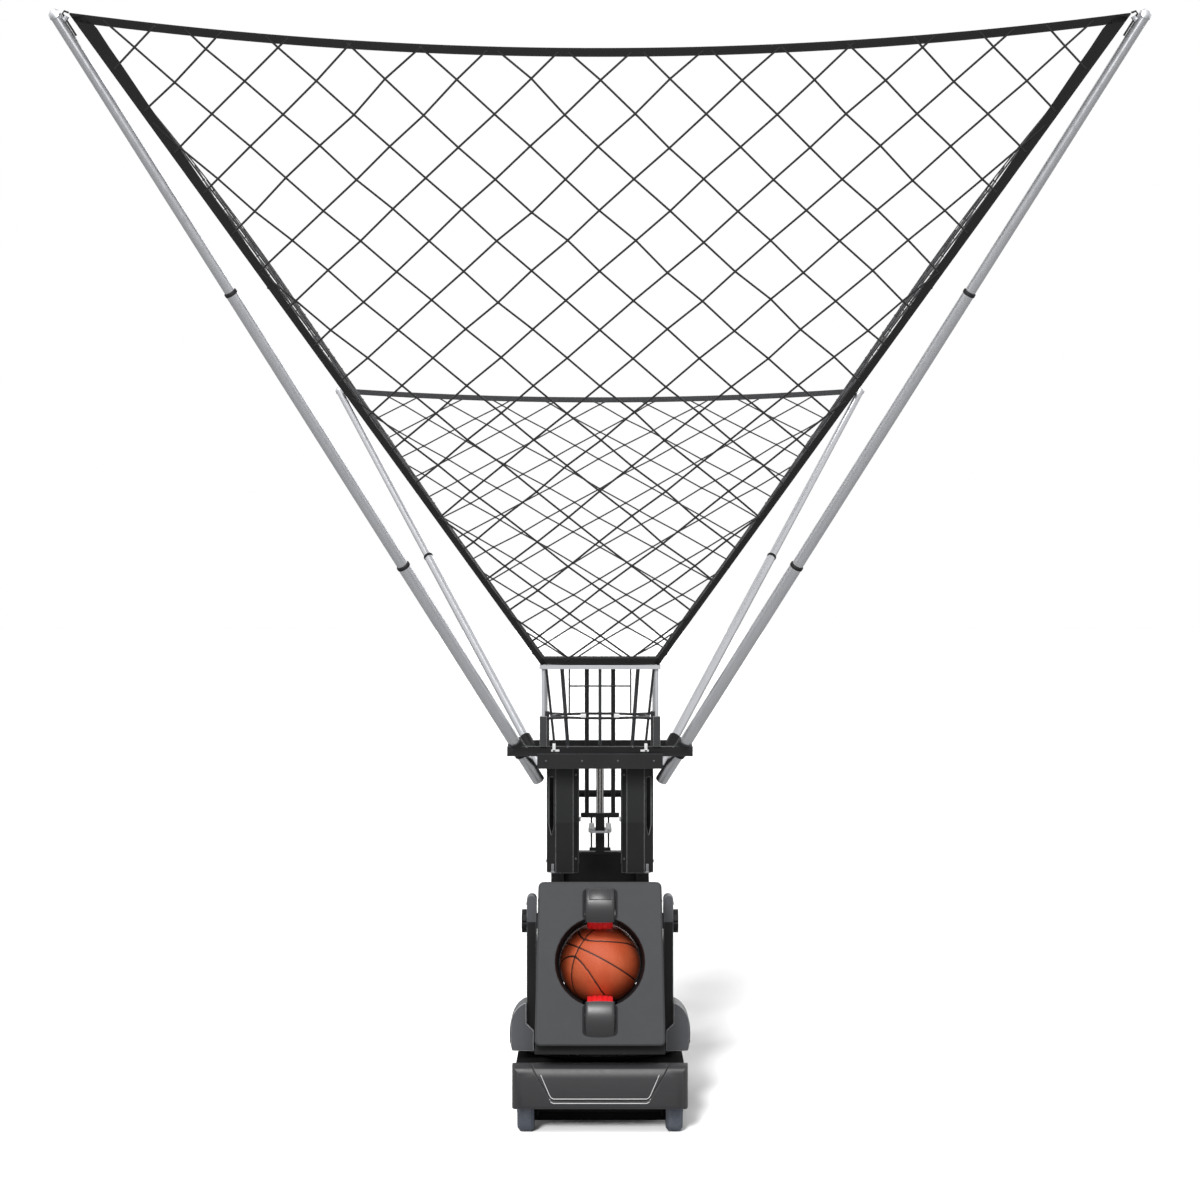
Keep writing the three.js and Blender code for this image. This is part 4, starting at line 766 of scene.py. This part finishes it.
# The black sheet stands as painted shade under the machine.
Works().loops(skirt_rows).piece("dust_skirt", matt_coat, "base", "dark_plastic")
print("skirt hung")

# %% [markdown]
# ## Hubs, controls and the screw's thread
# The road wheels have a moulded hub with a raised rim and a cap over the axle. On the control box a glossy cover
# lies in the screen's recess, and rubber caps stand on the keys. The lead screw has a coarse rolled thread.

# %% Hubs, controls and thread
def dished_hub(centre, radius, half):
    cap, dish = radius * 0.34, radius * 0.86
    side = [(0.0005, half + 0.0022), (cap * 0.8, half + 0.0022), (cap, half + 0.0008), (cap, half - 0.001),
            (dish, half - 0.001), (dish + 0.001, half + 0.0008), (radius, half + 0.0006), (radius, half - 0.002)]
    return Works().turned([(r, -a) for r, a in side] + side[::-1], centre, (1, 0, 0), 40)


for name, at, radius, half in (("front_wheel", (0.223, -0.300, 0.065), 0.038, 0.025),
                               ("caster_wheel", (0.148, 0.3104, 0.038), 0.019, 0.013)):
    for side, sign in (("right", 1), ("left", -1)):
        dished_hub((sign * at[0], *at[1:]), radius, half).piece(f"{name}_hub_{side}", shell_plastic,
                                                               f"{name}_{side}", "dark_plastic")

BOX_BACK, BOX_MIDDLE, KEY_PITCH = 0.4163, 0.680, 0.033
cover = Works().block((-0.0595, BOX_BACK - 0.0026, BOX_MIDDLE + 0.0005),
                      (0.0595, BOX_BACK - 0.0004, BOX_MIDDLE + 0.0495), 0.0008)
cover.piece("screen_cover", clear_cover, "base", "dark_plastic")
cap_profile = [(0.0058, 0), (0.0072, 0.0006), (0.0072, 0.0028), (0.0062, 0.0038), (0.0025, 0.0042), (0.0003, 0.0042)]
caps = Works()
for k in (-1, 0, 1):
    caps.turned(cap_profile, (KEY_PITCH * k, BOX_BACK + 0.0001, BOX_MIDDLE - 0.022), (0, 1, 0), 28)
caps.piece("key_caps", key_rubber, "base", "dark_plastic")

low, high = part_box("lead_screw")
axis_x, axis_y = (low[0] + high[0]) / 2, (low[1] + high[1]) / 2
SHAFT, RIDGE, LEAD, STARTS, FACETS = 0.0052, 0.0002, 0.020, 4, 20
thread_rows = []
for z in np.arange(low[2] + 0.001, high[2] - 0.001, 0.00125):
    row = []
    for k in range(FACETS):
        angle = 2 * math.pi * k / FACETS
        ridge = 0.5 + 0.5 * math.cos(STARTS * angle - 2 * math.pi * STARTS * z / LEAD)
        reach = SHAFT + RIDGE * ridge
        row.append((axis_x + reach * math.cos(angle), axis_y + reach * math.sin(angle), z))
    thread_rows.append(row)
Works().loops(thread_rows).piece("screw_thread", polished, "screw", "zinc_steel", sharpest=60)
print("hubs, controls and thread made")

# %% [markdown]
# ## Screws
# Sheet metal and covers are held by small round headed screws with a hexagon socket. Each place is found by a ray
# against its part. A Geometry Nodes tree sets one modelled screw on every place, turned outwards, with its
# socket at a random angle.

# %% Set the screws
def screw_head(facets=18):
    """A round head with a hexagon socket, standing on z = 0."""
    rings = []
    for radius, height, hexagon in ((0.0052, -0.0006, False), (0.0052, 0.0012, False), (0.0040, 0.0026, False),
                                    (0.0026, 0.0029, False), (0.0021, 0.0028, True), (0.0021, 0.0012, True)):
        ring = []
        for k in range(facets):
            angle, reach = 2 * math.pi * k / facets, radius
            if hexagon:
                reach = radius * math.cos(math.pi / 6) / math.cos((angle + math.pi / 6) % (math.pi / 3) - math.pi / 6)
            ring.append((reach * math.cos(angle), reach * math.sin(angle), height))
        rings.append(ring)
    return bpy.data.objects.new("screw_head", Works().loops(rings).mesh("screw_head"))


def screw_tree():
    tree, make, link, given, result = node_tree("screws_on_places", ("Screw", "Object", None), ("Size", "Float", None),
                                                ("Finish", "Material", None))
    info = make("GeometryNodeObjectInfo")
    out, turned = make("GeometryNodeInputNamedAttribute"), make("FunctionNodeAlignRotationToVector")
    out.data_type, turned.axis = "FLOAT_VECTOR", "Z"
    out.inputs["Name"].default_value = "out"
    chance, spun = make("FunctionNodeRandomValue"), make("FunctionNodeRotateRotation")
    chance.data_type, spun.rotation_space = "FLOAT_VECTOR", "LOCAL"
    chance.inputs["Max"].default_value = (0, 0, math.pi)
    chance.inputs["Seed"].default_value = 11
    placed = make("GeometryNodeInstanceOnPoints")
    link(given.outputs["Screw"], info.inputs["Object"])
    link(out.outputs["Attribute"], turned.inputs["Vector"])
    link(turned.outputs["Rotation"], spun.inputs["Rotation"])
    link(chance.outputs["Value"], spun.inputs["Rotate By"])
    link(given.outputs["Geometry"], placed.inputs["Points"])
    link(info.outputs["Geometry"], placed.inputs["Instance"])
    link(spun.outputs["Rotation"], placed.inputs["Rotation"])
    link(given.outputs["Size"], placed.inputs["Scale"])
    painted_end(make, link, given, result, placed.outputs["Instances"])
    return tree


RIGHT, FRONT, BACK, UP = (1, 0, 0), (0, -1, 0), (0, 1, 0), (0, 0, 1)
SCREWS = {
    "base": [("column_right", FRONT, (0.075, -0.14, 0.80)), ("column_right", FRONT, (0.075, -0.14, 1.06)),
             ("column_right", RIGHT, (0.16, -0.09, 0.79)), ("column_right", RIGHT, (0.16, 0.09, 0.79)),
             ("column_right", RIGHT, (0.16, -0.09, 1.08)), ("column_right", RIGHT, (0.16, 0.09, 1.08)),
             ("control_box", BACK, (0.136, 0.4, 0.602)), ("control_box", BACK, (0.136, 0.4, 0.758)),
             ("rear_panel", BACK, (0.235, 0.38, 0.115)), ("rear_panel", BACK, (0.235, 0.38, 0.175)),
             ("rear_panel", BACK, (0.10, 0.38, 0.175)), ("deck_cover", RIGHT, (0.25, -0.33, 0.172)),
             ("deck_cover", RIGHT, (0.25, 0.0, 0.172)), ("deck_cover", RIGHT, (0.25, 0.33, 0.172)),
             ("mast_right", BACK, (0.14, 0.34, 1.06)), ("mast_right", BACK, (0.14, 0.34, 0.83)),
             ("deck_cover", UP, (0.235, -0.345, 0.19)), ("deck_cover", UP, (0.235, 0.20, 0.19)),
             ("platform", FRONT, (0.165, -0.2, 1.107)), ("platform", FRONT, (0.055, -0.2, 1.107)),
             ("front_arm", FRONT, (0.10, -0.17, 1.149)), ("front_arm", FRONT, (0.225, -0.17, 1.149))],
    "turret": [("turntable", UP, (0.235 * math.cos(a), 0.235 * math.sin(a), 0.21))
               for a in np.radians((25, 50, 75, -72, -50))]
              + [("yoke_arm_right", RIGHT, (0.18, -0.15, 0.665)), ("yoke_cover_right", RIGHT, (0.25, -0.172, 0.245))],
    "head": [("head_shell", RIGHT, (0.18, -0.36, 0.70)), ("head_shell", RIGHT, (0.18, -0.39, 0.30)),
             ("head_shell", RIGHT, (0.18, -0.15, 0.72)), ("head_shell", RIGHT, (0.18, -0.15, 0.33))],
}
steel_screw = metal("steel_screw", tone(96, 97, 100), tone(70, 71, 74), roughness=0.4, lines=60)
RAY_START = 0.12  # how far out from a listed spot its ray begins
screws_on_places, one_screw, rays = screw_tree(), screw_head(), {}
for body, places in SCREWS.items():
    spots, ways = [], []
    for part, way, spot in places:
        for sign in (1, -1):
            name = part.replace("_right", "_left") if sign < 0 else part
            ray = rays.setdefault(name, surface_of(name))
            here, out = Vector(spot) * Vector((sign, 1, 1)), Vector(way) * Vector((sign, 1, 1))
            found = ray(here + out * RAY_START, -out)
            if found:
                spots.append(found)
                ways.append(out)
    holder = bpy.data.meshes.new("screw_places")
    holder.from_pydata([tuple(p) for p in spots], [], [])
    holder.attributes.new("out", "FLOAT_VECTOR", "POINT").data.foreach_set("vector", [v for way in ways for v in way])
    tied(grown(f"screws_{body}", holder, screws_on_places, {"Screw": one_screw, "Size": 0.85}, steel_screw),
         body, "zinc_steel")
    print(body, "screws:", len(spots))

# %% [markdown]
# ## The net
# Four panels of knotted cord hang between the poles and the cage, each inside a border of woven tape. The cords
# cross in diamonds 18 to 19 cm wide and 16 to 19 cm tall, so a ball can't pass. A panel is ruled by its four
# corners: shares across and up give a point on it. The crossings are set out on the panel as if it lay flat, the
# cords are cut where they reach the tape, and every crossing gets a knot.

# %% Set out one panel
NEWTON_STEPS, HALVINGS = 12, 18  # how often each search refines its answer
BORDER, SLACK, FIRST_SEED = 0.012, 0.0022, 7  # cords end this far from an edge; how far a knot strays


class Panel:
    """A four sided panel of net, seen from outside: corners at bottom left, bottom right, top right, top left."""

    def __init__(self, corners, sag, bow=0.0):
        self.corners, self.sag, self.bow = np.array(corners, float), sag, bow
        a, b, c, d = self.corners
        self.normal = np.cross(c - a, d - b)
        self.normal /= np.linalg.norm(self.normal)
        self.right = (b - a) / np.linalg.norm(b - a)
        self.right -= self.normal * (self.right @ self.normal)
        self.right /= np.linalg.norm(self.right)
        self.up = np.cross(self.normal, self.right)
        self.foot = (a + b) / 2
        self.flat = [((p - self.foot) @ self.right, (p - self.foot) @ self.up) for p in self.corners]

    def point(self, across, upwards):
        a, b, c, d = self.corners
        return ((1 - across) * (1 - upwards) * a + across * (1 - upwards) * b + across * upwards * c
                + (1 - across) * upwards * d - self.normal * 4 * self.bow * across * (1 - across) * upwards)

    def shares(self, x, y):
        """The shares across and up of a point on the flat drawing, found by Newton's steps."""
        (ax, ay), (bx, by), (cx, cy), (dx, dy) = self.flat
        s, t = 0.5, 0.5
        for _ in range(NEWTON_STEPS):
            px = (1 - s) * (1 - t) * ax + s * (1 - t) * bx + s * t * cx + (1 - s) * t * dx - x
            py = (1 - s) * (1 - t) * ay + s * (1 - t) * by + s * t * cy + (1 - s) * t * dy - y
            sx, sy = (1 - t) * (bx - ax) + t * (cx - dx), (1 - t) * (by - ay) + t * (cy - dy)
            tx, ty = (1 - s) * (dx - ax) + s * (cx - bx), (1 - s) * (dy - ay) + s * (cy - by)
            area = sx * ty - tx * sy
            s, t = s - (px * ty - tx * py) / area, t - (sx * py - px * sy) / area
        return s, t

    def drop(self, across):
        """How far the upper edge has sagged there, in metres."""
        return 4 * self.sag * across * (1 - across)

    def height(self, across):
        return np.linalg.norm(self.point(across, 1) - self.point(across, 0))

    def width(self, upwards):
        return np.linalg.norm(self.point(1, upwards) - self.point(0, upwards))

    def inside(self, x, y, border):
        s, t = self.shares(x, y)
        if not (-0.2 < s < 1.2 and -0.2 < t < 1.2):
            return False
        across, tall = self.width(t), self.height(s)
        return (s * across > border and (1 - s) * across > border and t * tall > border
                and (1 - t) * tall > self.drop(s) + border)

    def at(self, x, y):
        return self.point(*self.shares(x, y))


def cords_of(panel, pitch, rows, border, seed):
    """The cords of a panel as lines of points, and whether each point is a knot. rows gives the height of a row."""
    chance = np.random.RandomState(seed)
    shift = {}

    def crossing(i, j):
        if (i, j) not in shift:
            shift[i, j] = chance.normal(0, SLACK, 2)
        return np.array([i * pitch / 2, rows(j / 2)]) + shift[i, j]

    lines = []
    for slope in (1, -1):
        for start in range(-64, 65):
            line = []
            for j in range(-2, 30):
                i = start + slope * j
                if (i + j) % 2:
                    continue
                here, beyond = crossing(i, j), crossing(i + slope, j + 1)
                in_here, in_beyond = panel.inside(*here, border), panel.inside(*beyond, border)
                if in_here or in_beyond:
                    low, high = 0.0, 1.0
                    for _ in range(HALVINGS):
                        middle = (low + high) / 2
                        if panel.inside(*(here + (beyond - here) * middle), border) == in_here:
                            low = middle
                        else:
                            high = middle
                    edge = here + (beyond - here) * low
                    if in_here and not line:
                        line.append((here, slope == 1))
                    if in_here and in_beyond:
                        line.append((beyond, slope == 1))
                    elif in_here:
                        line.append((edge, False))
                    else:
                        line += [(edge, False), (beyond, slope == 1)]
            if len(line) > 1:
                lines.append([(panel.at(*point), knot) for point, knot in line])
    return lines


front_tip, rear_tip = np.array([1.390, -1.2575, 3.1365]), np.array([0.927, 1.2605, 2.3755])
mirror = np.array([-1, 1, 1])


def cage_corner(x, y):
    return np.array([0.181 * x, 0.181 * y, 1.4035])


PANELS = {
    "net_front": (Panel([cage_corner(-1, -1), cage_corner(1, -1), front_tip, front_tip * mirror], 0.095),
                  0.189, lambda n: 2.043 * (0.0505 + 0.0803 * n + 0.00055 * n * n)),
    "net_rear": (Panel([cage_corner(1, 1), cage_corner(-1, 1), rear_tip * mirror, rear_tip], 0.052),
                 0.180, lambda n: 0.083 + 0.159 * n),
    "net_side_right": (Panel([cage_corner(1, -1), cage_corner(1, 1), rear_tip, front_tip], 0.060, 0.040),
                       0.185, lambda n: 0.040 + 0.168 * n),
    "net_side_left": (Panel([cage_corner(-1, 1), cage_corner(-1, -1), front_tip * mirror, rear_tip * mirror], 0.060,
                            0.040), 0.185, lambda n: 0.040 + 0.168 * n),
}
net_lines = {name: cords_of(panel, pitch, rows, BORDER, FIRST_SEED + k)
             for k, (name, (panel, pitch, rows)) in enumerate(PANELS.items())}
print("cords:", {name: len(lines) for name, lines in net_lines.items()})

# %% [markdown]
# A cord is a line that a circle follows, and a knot is the same small lump at every crossing. That is work for
# Geometry Nodes: the lines go in as bare edges, and the tree turns them into tubes and sets a knot on each
# marked point.

# %% Turn lines into knotted cord
def cord_tree():
    tree, make, link, given, result = node_tree("knotted_cord", ("Cord radius", "Float", 0.0025),
                                                ("Knot radius", "Float", 0.005), ("Sides", "Int", 6),
                                                ("Finish", "Material", None))
    line, tube = make("GeometryNodeMeshToCurve"), make("GeometryNodeCurveToMesh")
    circle = make("GeometryNodeCurvePrimitiveCircle")
    tube.inputs["Fill Caps"].default_value = True
    link(given.outputs["Geometry"], line.inputs["Mesh"])
    link(line.outputs["Curve"], tube.inputs["Curve"])
    link(given.outputs["Sides"], circle.inputs["Resolution"])
    link(given.outputs["Cord radius"], circle.inputs["Radius"])
    link(circle.outputs["Curve"], tube.inputs["Profile Curve"])
    marked, knot = make("GeometryNodeInputNamedAttribute"), make("GeometryNodeMeshIcoSphere")
    knots = make("GeometryNodeInstanceOnPoints")
    marked.data_type = "BOOLEAN"
    marked.inputs["Name"].default_value = "knot"
    link(given.outputs["Knot radius"], knot.inputs["Radius"])
    link(given.outputs["Geometry"], knots.inputs["Points"])
    link(marked.outputs["Attribute"], knots.inputs["Selection"])
    link(knot.outputs["Mesh"], knots.inputs["Instance"])
    joined, smooth = make("GeometryNodeJoinGeometry"), make("GeometryNodeSetShadeSmooth")
    link(tube.outputs["Mesh"], joined.inputs["Geometry"])
    link(knots.outputs["Instances"], joined.inputs["Geometry"])
    link(joined.outputs["Geometry"], smooth.inputs["Geometry"])
    painted_end(make, link, given, result, smooth.outputs["Geometry"])
    return tree


def line_mesh(name, lines):
    """Bare edges through the points of each line, with the knots marked."""
    points = [point for line in lines for point, _ in line]
    edges, first = [], 0
    for line in lines:
        edges += [(first + k, first + k + 1) for k in range(len(line) - 1)]
        first += len(line)
    mesh = bpy.data.meshes.new(name)
    mesh.from_pydata([tuple(p) for p in points], edges, [])
    marks = mesh.attributes.new("knot", "BOOLEAN", "POINT")
    marks.data.foreach_set("value", [knot for line in lines for _, knot in line])
    return mesh


def cordage(name, colour, faded):
    """Braided cord: a fine slanting braid, a little faded."""
    finish = Finish(name, Specular_IOR_Level=0.25, Sheen_Weight=0.2)
    braid = finish.node("TexWave", {"bands_direction": "DIAGONAL"}, {"Vector": finish.place(), "Scale": 180.0,
                                                                    "Distortion": 1.5}, output=1)
    finish.show(Base_Color=finish.mixed((finish.noise(6, 3) * 0.5 + braid * 0.35).clipped(), colour, faded))
    finish.show(Roughness=(0.78 + 0.1 * (braid - 0.5)).clipped())
    return finish.bumped(braid, 0.0004)


black_cord = cordage("black_net_cord", tone(16, 16, 18), tone(34, 35, 37))
grey_cord = cordage("grey_net_cord", tone(34, 35, 37), tone(62, 63, 66))
knotted_cord = cord_tree()
for name, lines in net_lines.items():
    look = {"Cord radius": 0.0030 if name == "net_front" else 0.0026, "Knot radius": 0.0050, "Sides": 6}
    cords = grown(name + "_cords", line_mesh(name, lines), knotted_cord, look,
                  black_cord if name == "net_front" else grey_cord)
    tied(cords, "base", "net_cord", name)

# %% [markdown]
# ## The tapes round the net
# A woven tape is sewn round every panel and takes the pull of the cords. It is widest where the front panels
# hang on the tips of the poles, and narrows towards the cage. Each tape is a flat band that follows its edge,
# lies in the panel, and has rounded sides.

# %% Sew the tapes
def band(points, normals, widths, thickness):
    """A closed flat band along points. A section has eight corners, so that its sides are rounded."""
    points, normals, widths = np.array(points), np.array(normals), np.array(widths)
    along = np.gradient(points, axis=0)
    along /= np.linalg.norm(along, axis=1, keepdims=True)
    across = np.cross(normals, along)
    across /= np.linalg.norm(across, axis=1, keepdims=True)
    upright = np.cross(along, across)
    half, thick = widths[:, None] / 2, thickness / 2
    shares = [(-1, -0.5), (-1, 0.5), (-0.93, 1), (0.93, 1), (1, 0.5), (1, -0.5), (0.93, -1), (-0.93, -1)]
    sections = np.stack([points + across * half * u + upright * thick * v for u, v in shares], axis=1)
    count, size = len(points), len(shares)
    faces = []
    for k in range(count - 1):
        for m in range(size):
            n = (m + 1) % size
            faces.append((k * size + m, (k + 1) * size + m, (k + 1) * size + n, k * size + n))
    faces.append(tuple(range(size)))
    faces.append(tuple((count - 1) * size + m for m in reversed(range(size))))
    return sections.reshape(-1, 3), faces, [u for _ in range(count) for u, _ in shares]


def trimmed(panel, point):
    """A point of a tape, moved inside the outline of its panel, so that the corners are mitred."""
    (ax, ay), (bx, by), (cx, cy), (dx, dy) = panel.flat
    x, y = (point - panel.foot) @ panel.right, (point - panel.foot) @ panel.up
    low = ax + (dx - ax) * (y - ay) / (dy - ay)
    high = bx + (cx - bx) * (y - by) / (cy - by)
    inside = min(max(x, low), high)
    share = (inside - low) / (high - low)
    top = dy + (cy - dy) * share - panel.drop(share) + 0.0005
    return point + panel.right * (inside - x) + panel.up * (min(y, top) - y)


def woven(name, colour, faded):
    """Woven tape: a fine twill, and two sewn seams that follow the share across."""
    finish = Finish(name, Specular_IOR_Level=0.25, Sheen_Weight=0.15)
    across = finish.node("Attribute", {"attribute_name": "across"}, output="Fac")
    weave = finish.node("TexWave", {"bands_direction": "DIAGONAL"}, {"Vector": finish.place(), "Scale": 260.0,
                                                                    "Distortion": 0.6}, output=1)
    off_seam = across.work("ABSOLUTE", across) - 0.72
    seam = 1 - off_seam.work("ABSOLUTE", off_seam).step(0.0, 0.1)
    fading = (finish.noise(8, 3) * 0.45 + weave * 0.25 + seam * 0.3).clipped()
    finish.show(Base_Color=finish.mixed(fading, colour, faded))
    finish.show(Roughness=(0.82 + 0.1 * (weave - 0.5)).clipped())
    return finish.bumped(weave + seam * -1.0, 0.0005)


black_tape = woven("black_net_tape", tone(8, 8, 9), tone(22, 22, 24))
grey_tape = woven("grey_net_tape", tone(26, 27, 29), tone(52, 53, 56))


def tapes_of(name, panel, top_width, side_widths, thickness=0.003, foot=0.011, steps=40):
    """The four tapes of a panel as one mesh, and their length and area. The cords' pull ripples the side tapes."""
    shares = np.linspace(0, 1, steps)
    top = [panel.point(s, 1) - panel.up * (panel.drop(s) + top_width / 2) for s in shares]
    runs = [(top, np.full(steps, top_width)),
            ([panel.point(s, 0) + panel.up * foot for s in shares], np.full(steps, 2 * foot))]
    for side, inwards in ((0, 1), (1, -1)):
        widths = np.interp(shares, [0, 0.55, 0.9, 1], side_widths)
        ripple = 1 + 0.05 * np.cos(2 * math.pi * 11 * shares)
        edge = [panel.point(side, t) + panel.right * inwards * w / 2 for t, w in zip(shares, widths)]
        runs.append((edge, widths * ripple))
    all_points, all_faces, all_shares, length, area = [], [], [], 0.0, 0.0
    for points, widths in runs:
        points = np.array(points)
        made, faces, across = band(points, np.tile(panel.normal, (steps, 1)), widths, thickness)
        first = len(all_points)
        all_points += [tuple(trimmed(panel, p)) for p in made]
        all_faces += [tuple(first + v for v in face) for face in faces]
        all_shares += across
        strides = np.linalg.norm(np.diff(points, axis=0), axis=1)
        length += strides.sum()
        area += (strides * (widths[1:] + widths[:-1]) / 2).sum()
    mesh = bpy.data.meshes.new(name + "_tapes")
    mesh.from_pydata(all_points, [], all_faces)
    mesh.attributes.new("across", "FLOAT", "POINT").data.foreach_set("value", all_shares)
    return mesh, length, area


def turned_out(mesh):
    """Faces of a closed mesh turned outwards."""
    work = bmesh.new()
    work.from_mesh(mesh)
    bmesh.ops.recalc_face_normals(work, faces=work.faces)
    work.to_mesh(mesh)
    work.free()


# For each panel: the width of its upper tape, the widths of its side tapes from foot to top, and what holds it
TAPES = {
    "net_front": (0.024, (0.017, 0.022, 0.034, 0.044), black_tape, both("front_pole_upper")),
    "net_rear": (0.030, (0.012, 0.014, 0.016, 0.02), grey_tape, both("rear_pole_upper")),
}
for side in ("right", "left"):
    TAPES["net_side_" + side] = (0.024, (0.010, 0.012, 0.016, 0.02), grey_tape,
                                 ["front_pole_upper_" + side, "rear_pole_upper_" + side])
for name, (top_width, side_widths, finish, poles) in TAPES.items():
    mesh, length, area = tapes_of(name, PANELS[name][0], top_width, side_widths)
    turned_out(mesh)
    tape = keep(name + "_tapes", mesh, finish, "base", "net_cord", name)
    widest = max(top_width, *side_widths)
    min(area, widest * length)
    print(name, "tape length", round(length, 2), "area", round(area, 3))

# %% [markdown]
# ## Hooks at the corners
# A black wire hook hangs each upper corner of the net on the tip of its pole, and lies along the pole for a
# hand's width.

# %% Hang the corners
WIRE_RADIUS, BESIDE_POLE = 0.0028, 0.0185
hooks = Works()
for end, corner in (("front", front_tip), ("rear", rear_tip)):
    for _, tip, along, flip in pole_pair(end):
        eye = Vector(corner) * flip
        inwards = eye - tip
        inwards = (inwards - along * inwards.dot(along)).normalized()
        leg = [tip + along * -reach + inwards * BESIDE_POLE for reach in (0.006, 0.040, 0.072)]
        hooks.bar([eye, (eye + leg[0]) / 2 + along * 0.006, *leg], WIRE_RADIUS, 10)
hooks.piece("corner_hooks", black_plastic, "base", "net_cord")
print("corners hung")

# %% [markdown]
# ## The ball
# A full size ball waits between the wheels, 246 mm across. Its cover has eight panels between two great circles
# and two curved seams, each a shallow dark channel. The channels are pressed into a fine sphere, and the same
# distance that shapes them tints them. The pebbles of the cover are far smaller than the mesh, so they are a bump.

# %% Press the seams into a sphere
def ball_mesh(centre, radius):
    straight, cross_seam = np.array([0.468, 0.244, 0.849]), np.array([-0.715, 0.668, 0.208])
    forward = np.array([-0.51, -0.71, 0.485])
    work = bmesh.new()
    bmesh.ops.create_icosphere(work, subdivisions=6, radius=1)
    mesh = bpy.data.meshes.new("ball_cover")
    work.to_mesh(mesh)
    work.free()
    out = np.array([v.co for v in mesh.vertices])
    out /= np.linalg.norm(out, axis=1, keepdims=True)
    rise = np.arcsin(np.clip(out @ straight, -1, 1))
    turn = np.arctan2(out @ cross_seam, out @ forward)
    curved = np.radians(14 + 31 * np.abs(np.sin(turn)) ** 1.5)
    distance = np.minimum.reduce([np.abs(rise), np.abs(np.arcsin(np.clip(out @ cross_seam, -1, 1))),
                                  np.abs(np.abs(rise) - curved) * 0.86]) * radius
    channel = np.clip(1 - distance / 0.0046, 0, 1)
    channel = channel * channel * (3 - 2 * channel)
    points = np.array(centre) + out * (radius - 0.0018 * channel)[:, None]
    mesh.vertices.foreach_set("co", points.ravel())
    mesh.attributes.new("seam", "FLOAT", "POINT").data.foreach_set("value", channel)
    mesh.shade_smooth()
    return mesh


def pebbled(name):
    """The cover of the ball: pebbles with darker hollows between them, lighter worn patches, and black rubber in the
    seams.
    """
    finish = Finish(name, Specular_IOR_Level=0.35)
    seam = finish.node("Attribute", {"attribute_name": "seam"}, output="Fac").step(0.25, 0.7)
    pebble = finish.node("TexVoronoi", inputs={"Vector": finish.place(), "Scale": 380.0}, output="Distance")
    worn = finish.noise(10, 4).step(0.35, 0.7)
    cover = finish.mixed(worn * 0.6, tone(196, 84, 46), tone(222, 118, 78))
    # Darker towards the hollows between the pebbles.
    cover = finish.mixed((pebble * 0.5).clipped(), cover, tone(168, 66, 36))
    finish.show(Base_Color=finish.mixed(seam, cover, tone(42, 30, 28)))
    finish.show(Roughness=(0.55 + 0.15 * (finish.noise(40, 3) - 0.5)).clipped())
    return finish.bumped((1 - pebble) * (1 - seam), 0.0006)


low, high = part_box("ball")
keep("ball_cover", ball_mesh((low + high) / 2, 0.123), pebbled("ball_cover"), "ball", "ball_cover", "ball")
print("ball centre", [round(v, 4) for v in (low + high) / 2])
